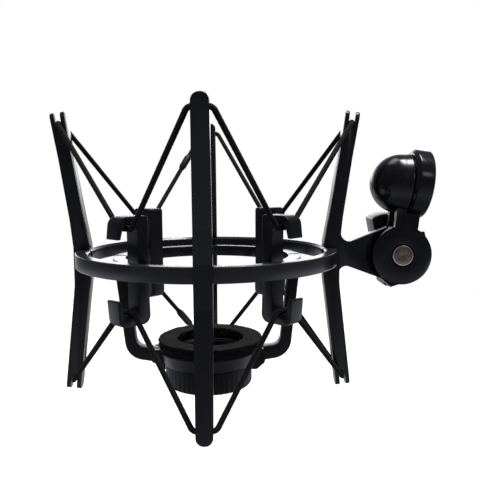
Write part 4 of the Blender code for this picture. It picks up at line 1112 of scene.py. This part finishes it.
def build_knob():
    """The flat wing and its hub, on the clamp stud."""
    end_angle = asin(WING_HALF_WIDTH * WING_END_SHARE / WING_RADIUS)
    outline = []
    for middle in (pi / 2, -pi / 2):
        side = copysign(1, middle)
        shoulder = WING_RADIUS * WING_SHOULDER_SHARE * side
        outline.append((side * WING_HALF_WIDTH, shoulder))
        for i in range(9):
            angle = middle - end_angle + 2 * end_angle * i / 8
            outline.append((WING_RADIUS * cos(angle), WING_RADIUS * sin(angle)))
        outline.append((-side * WING_HALF_WIDTH, shoulder))
    wing = sculpted("wing", prism(outline, WING_START, WING_END), [], WING_BEVEL, 4, 30.0)
    hub = along_y(rod(HUB_RADIUS, HUB_START, WING_START + HUB_OVERLAP, 96))
    bore = along_y(rod(STUD_BORE_RADIUS, 0.005, STUD_BACK + 0.0003))
    mesh = sculpted("wing_knob_fine", wing, join(hub) + cut(bore))
    add("wing_knob_fine", mesh, "clamp_knob", PLASTIC, ["wing_knob"], KNOB_PLACE)


def dress_nodes():
    """Materials for the CAD nodes that stay visible."""
    finishes = {"nylon": NYLON, "black_screw": SCREW_STEEL, "bare_steel": NUT_STEEL}
    slots = {entry["node"]: entry["material_slot"] for entry in frame["record"]["subparts"]}
    for name, node in frame["nodes"].items():
        material = finishes.get(slots.get(name))
        if material and node.data:
            node.data.materials.clear()
            node.data.materials.append(material)


# ---- studio
def area_light(name, place, width, height, power):
    """A rectangular light aimed at the origin."""
    light = bpy.data.lights.new(name, "AREA")
    light.shape = "RECTANGLE"
    light.size = width
    light.size_y = height
    light.energy = power
    lamp = placed(name, light)
    lamp.location = place
    lamp.rotation_euler = (-Vector(place)).to_track_quat("-Z", "Y").to_euler()


def build_room():
    """A room that the camera sees as white, and that shows its shades only in reflections and light."""
    world = bpy.data.worlds.new("studio")
    bpy.context.scene.world = world
    world.use_nodes = True
    tree = world.node_tree
    tree.nodes.clear()
    link = tree.links.new
    coordinates = new_node(tree, "TexCoord")
    parts = new_node(tree, "SeparateXYZ")
    link(coordinates.outputs["Generated"], parts.inputs["Vector"])
    height = new_node(tree, "MapRange", {"From Min": -1.0})
    link(parts.outputs["Z"], height.inputs["Value"])
    shades = []
    for stops, (red, green, blue) in ((FRONT_SHADES, COOL), (SIDE_SHADES, COOL), (BACK_SHADES, NEUTRAL)):
        ramp = new_node(tree, "ValToRGB")
        while len(ramp.color_ramp.elements) < len(stops):
            ramp.color_ramp.elements.new(0.5)
        for element, (level, shade) in zip(ramp.color_ramp.elements, stops):
            element.position = (level + 1) / 2
            element.color = (shade * red, shade * green, shade * blue, 1)
        link(height.outputs["Result"], ramp.inputs[0])
        shades.append(ramp.outputs["Color"])
    last = shades[0]
    for (start, stop), other in zip((FRONT_TO_SIDE, SIDE_TO_BACK), shades[1:]):
        limits = {"From Min": start, "From Max": stop}
        turn = new_node(tree, "MapRange", limits, interpolation_type="SMOOTHSTEP")
        link(parts.outputs["Y"], turn.inputs["Value"])
        blend = new_node(tree, "Mix", data_type="RGBA")
        link(turn.outputs["Result"], blend.inputs["Factor"])
        link(last, blend.inputs["A"])
        link(other, blend.inputs["B"])
        last = blend.outputs["Result"]
    room = new_node(tree, "Background", {"Strength": 1.0})
    link(last, room.inputs["Color"])
    seen = new_node(tree, "Background", {"Color": (1, 1, 1, 1), "Strength": 1.0})
    path = new_node(tree, "LightPath")
    mix = new_node(tree, "MixShader")
    link(path.outputs["Is Camera Ray"], mix.inputs["Fac"])
    link(room.outputs["Background"], mix.inputs[1])
    link(seen.outputs["Background"], mix.inputs[2])
    out = new_node(tree, "OutputWorld")
    link(mix.outputs["Shader"], out.inputs["Surface"])


def build_floor():
    """A pale disc well below the object."""
    around = [2 * pi * i / FLOOR_STEPS for i in range(FLOOR_STEPS)]
    corners = [(FLOOR_RADIUS * cos(a), FLOOR_RADIUS * sin(a), FLOOR_HEIGHT) for a in around]
    mesh = bpy.data.meshes.new("floor")
    mesh.from_pydata(corners, [], [tuple(range(FLOOR_STEPS))])
    floor = placed("floor", mesh)
    pale = bpy.data.materials.new("pale_floor")
    pale.use_nodes = True
    surface = pale.node_tree.nodes["Principled BSDF"]
    set_inputs(surface, {"Base Color": (0.92, 0.92, 0.92, 1), "Roughness": 0.9})
    mesh.materials.append(pale)
    floor.visible_glossy = False
    floor.visible_diffuse = False


def build_lights():
    """A broad sun that no surface mirrors, and small lights for the highlights."""
    sun = bpy.data.lights.new("overhead", "SUN")
    sun.energy = SUN_POWER
    sun.angle = SUN_SPREAD
    lamp = placed("overhead", sun)
    lamp.rotation_euler = (SUN_TILT, 0, 0)
    lamp.visible_glossy = False
    for light in AREA_LIGHTS:
        area_light(*light)


def build_camera():
    """The camera, turned by its heading, pitch and roll."""
    level = cos(CAMERA_PITCH)
    heading = Vector((sin(CAMERA_HEADING), cos(CAMERA_HEADING)))
    forward = Vector((heading.x * level, heading.y * level, sin(CAMERA_PITCH)))
    right = Vector((heading.y, -heading.x, 0))
    up = right.cross(forward)
    rolled_right = right * cos(CAMERA_ROLL) + up * sin(CAMERA_ROLL)
    rolled_up = rolled_right.cross(forward)
    camera = bpy.data.cameras.new("camera")
    camera.lens = CAMERA_LENS
    camera.sensor_width = CAMERA_SENSOR
    camera.clip_start = 0.01
    eye = placed("camera", camera)
    basis = Matrix((rolled_right, rolled_up, -forward)).transposed().to_4x4()
    eye.matrix_world = Matrix.Translation(CAMERA_PLACE) @ basis
    bpy.context.scene.camera = eye


build_frame()
build_basket()
build_seat()
build_foam()
build_thread_ring()
build_band("upper_band", UPPER_GROOVE, UPPER_HOOK_HEIGHT, *UPPER_SLEEVE)
build_band("lower_band", LOWER_GROOVE, LOWER_HOOK_HEIGHT, *LOWER_SLEEVE)
build_adapter()
build_nut()
build_knob()
dress_nodes()
build_room()
build_floor()
build_lights()
build_camera()
bpy.context.scene.view_settings.view_transform = "Standard"
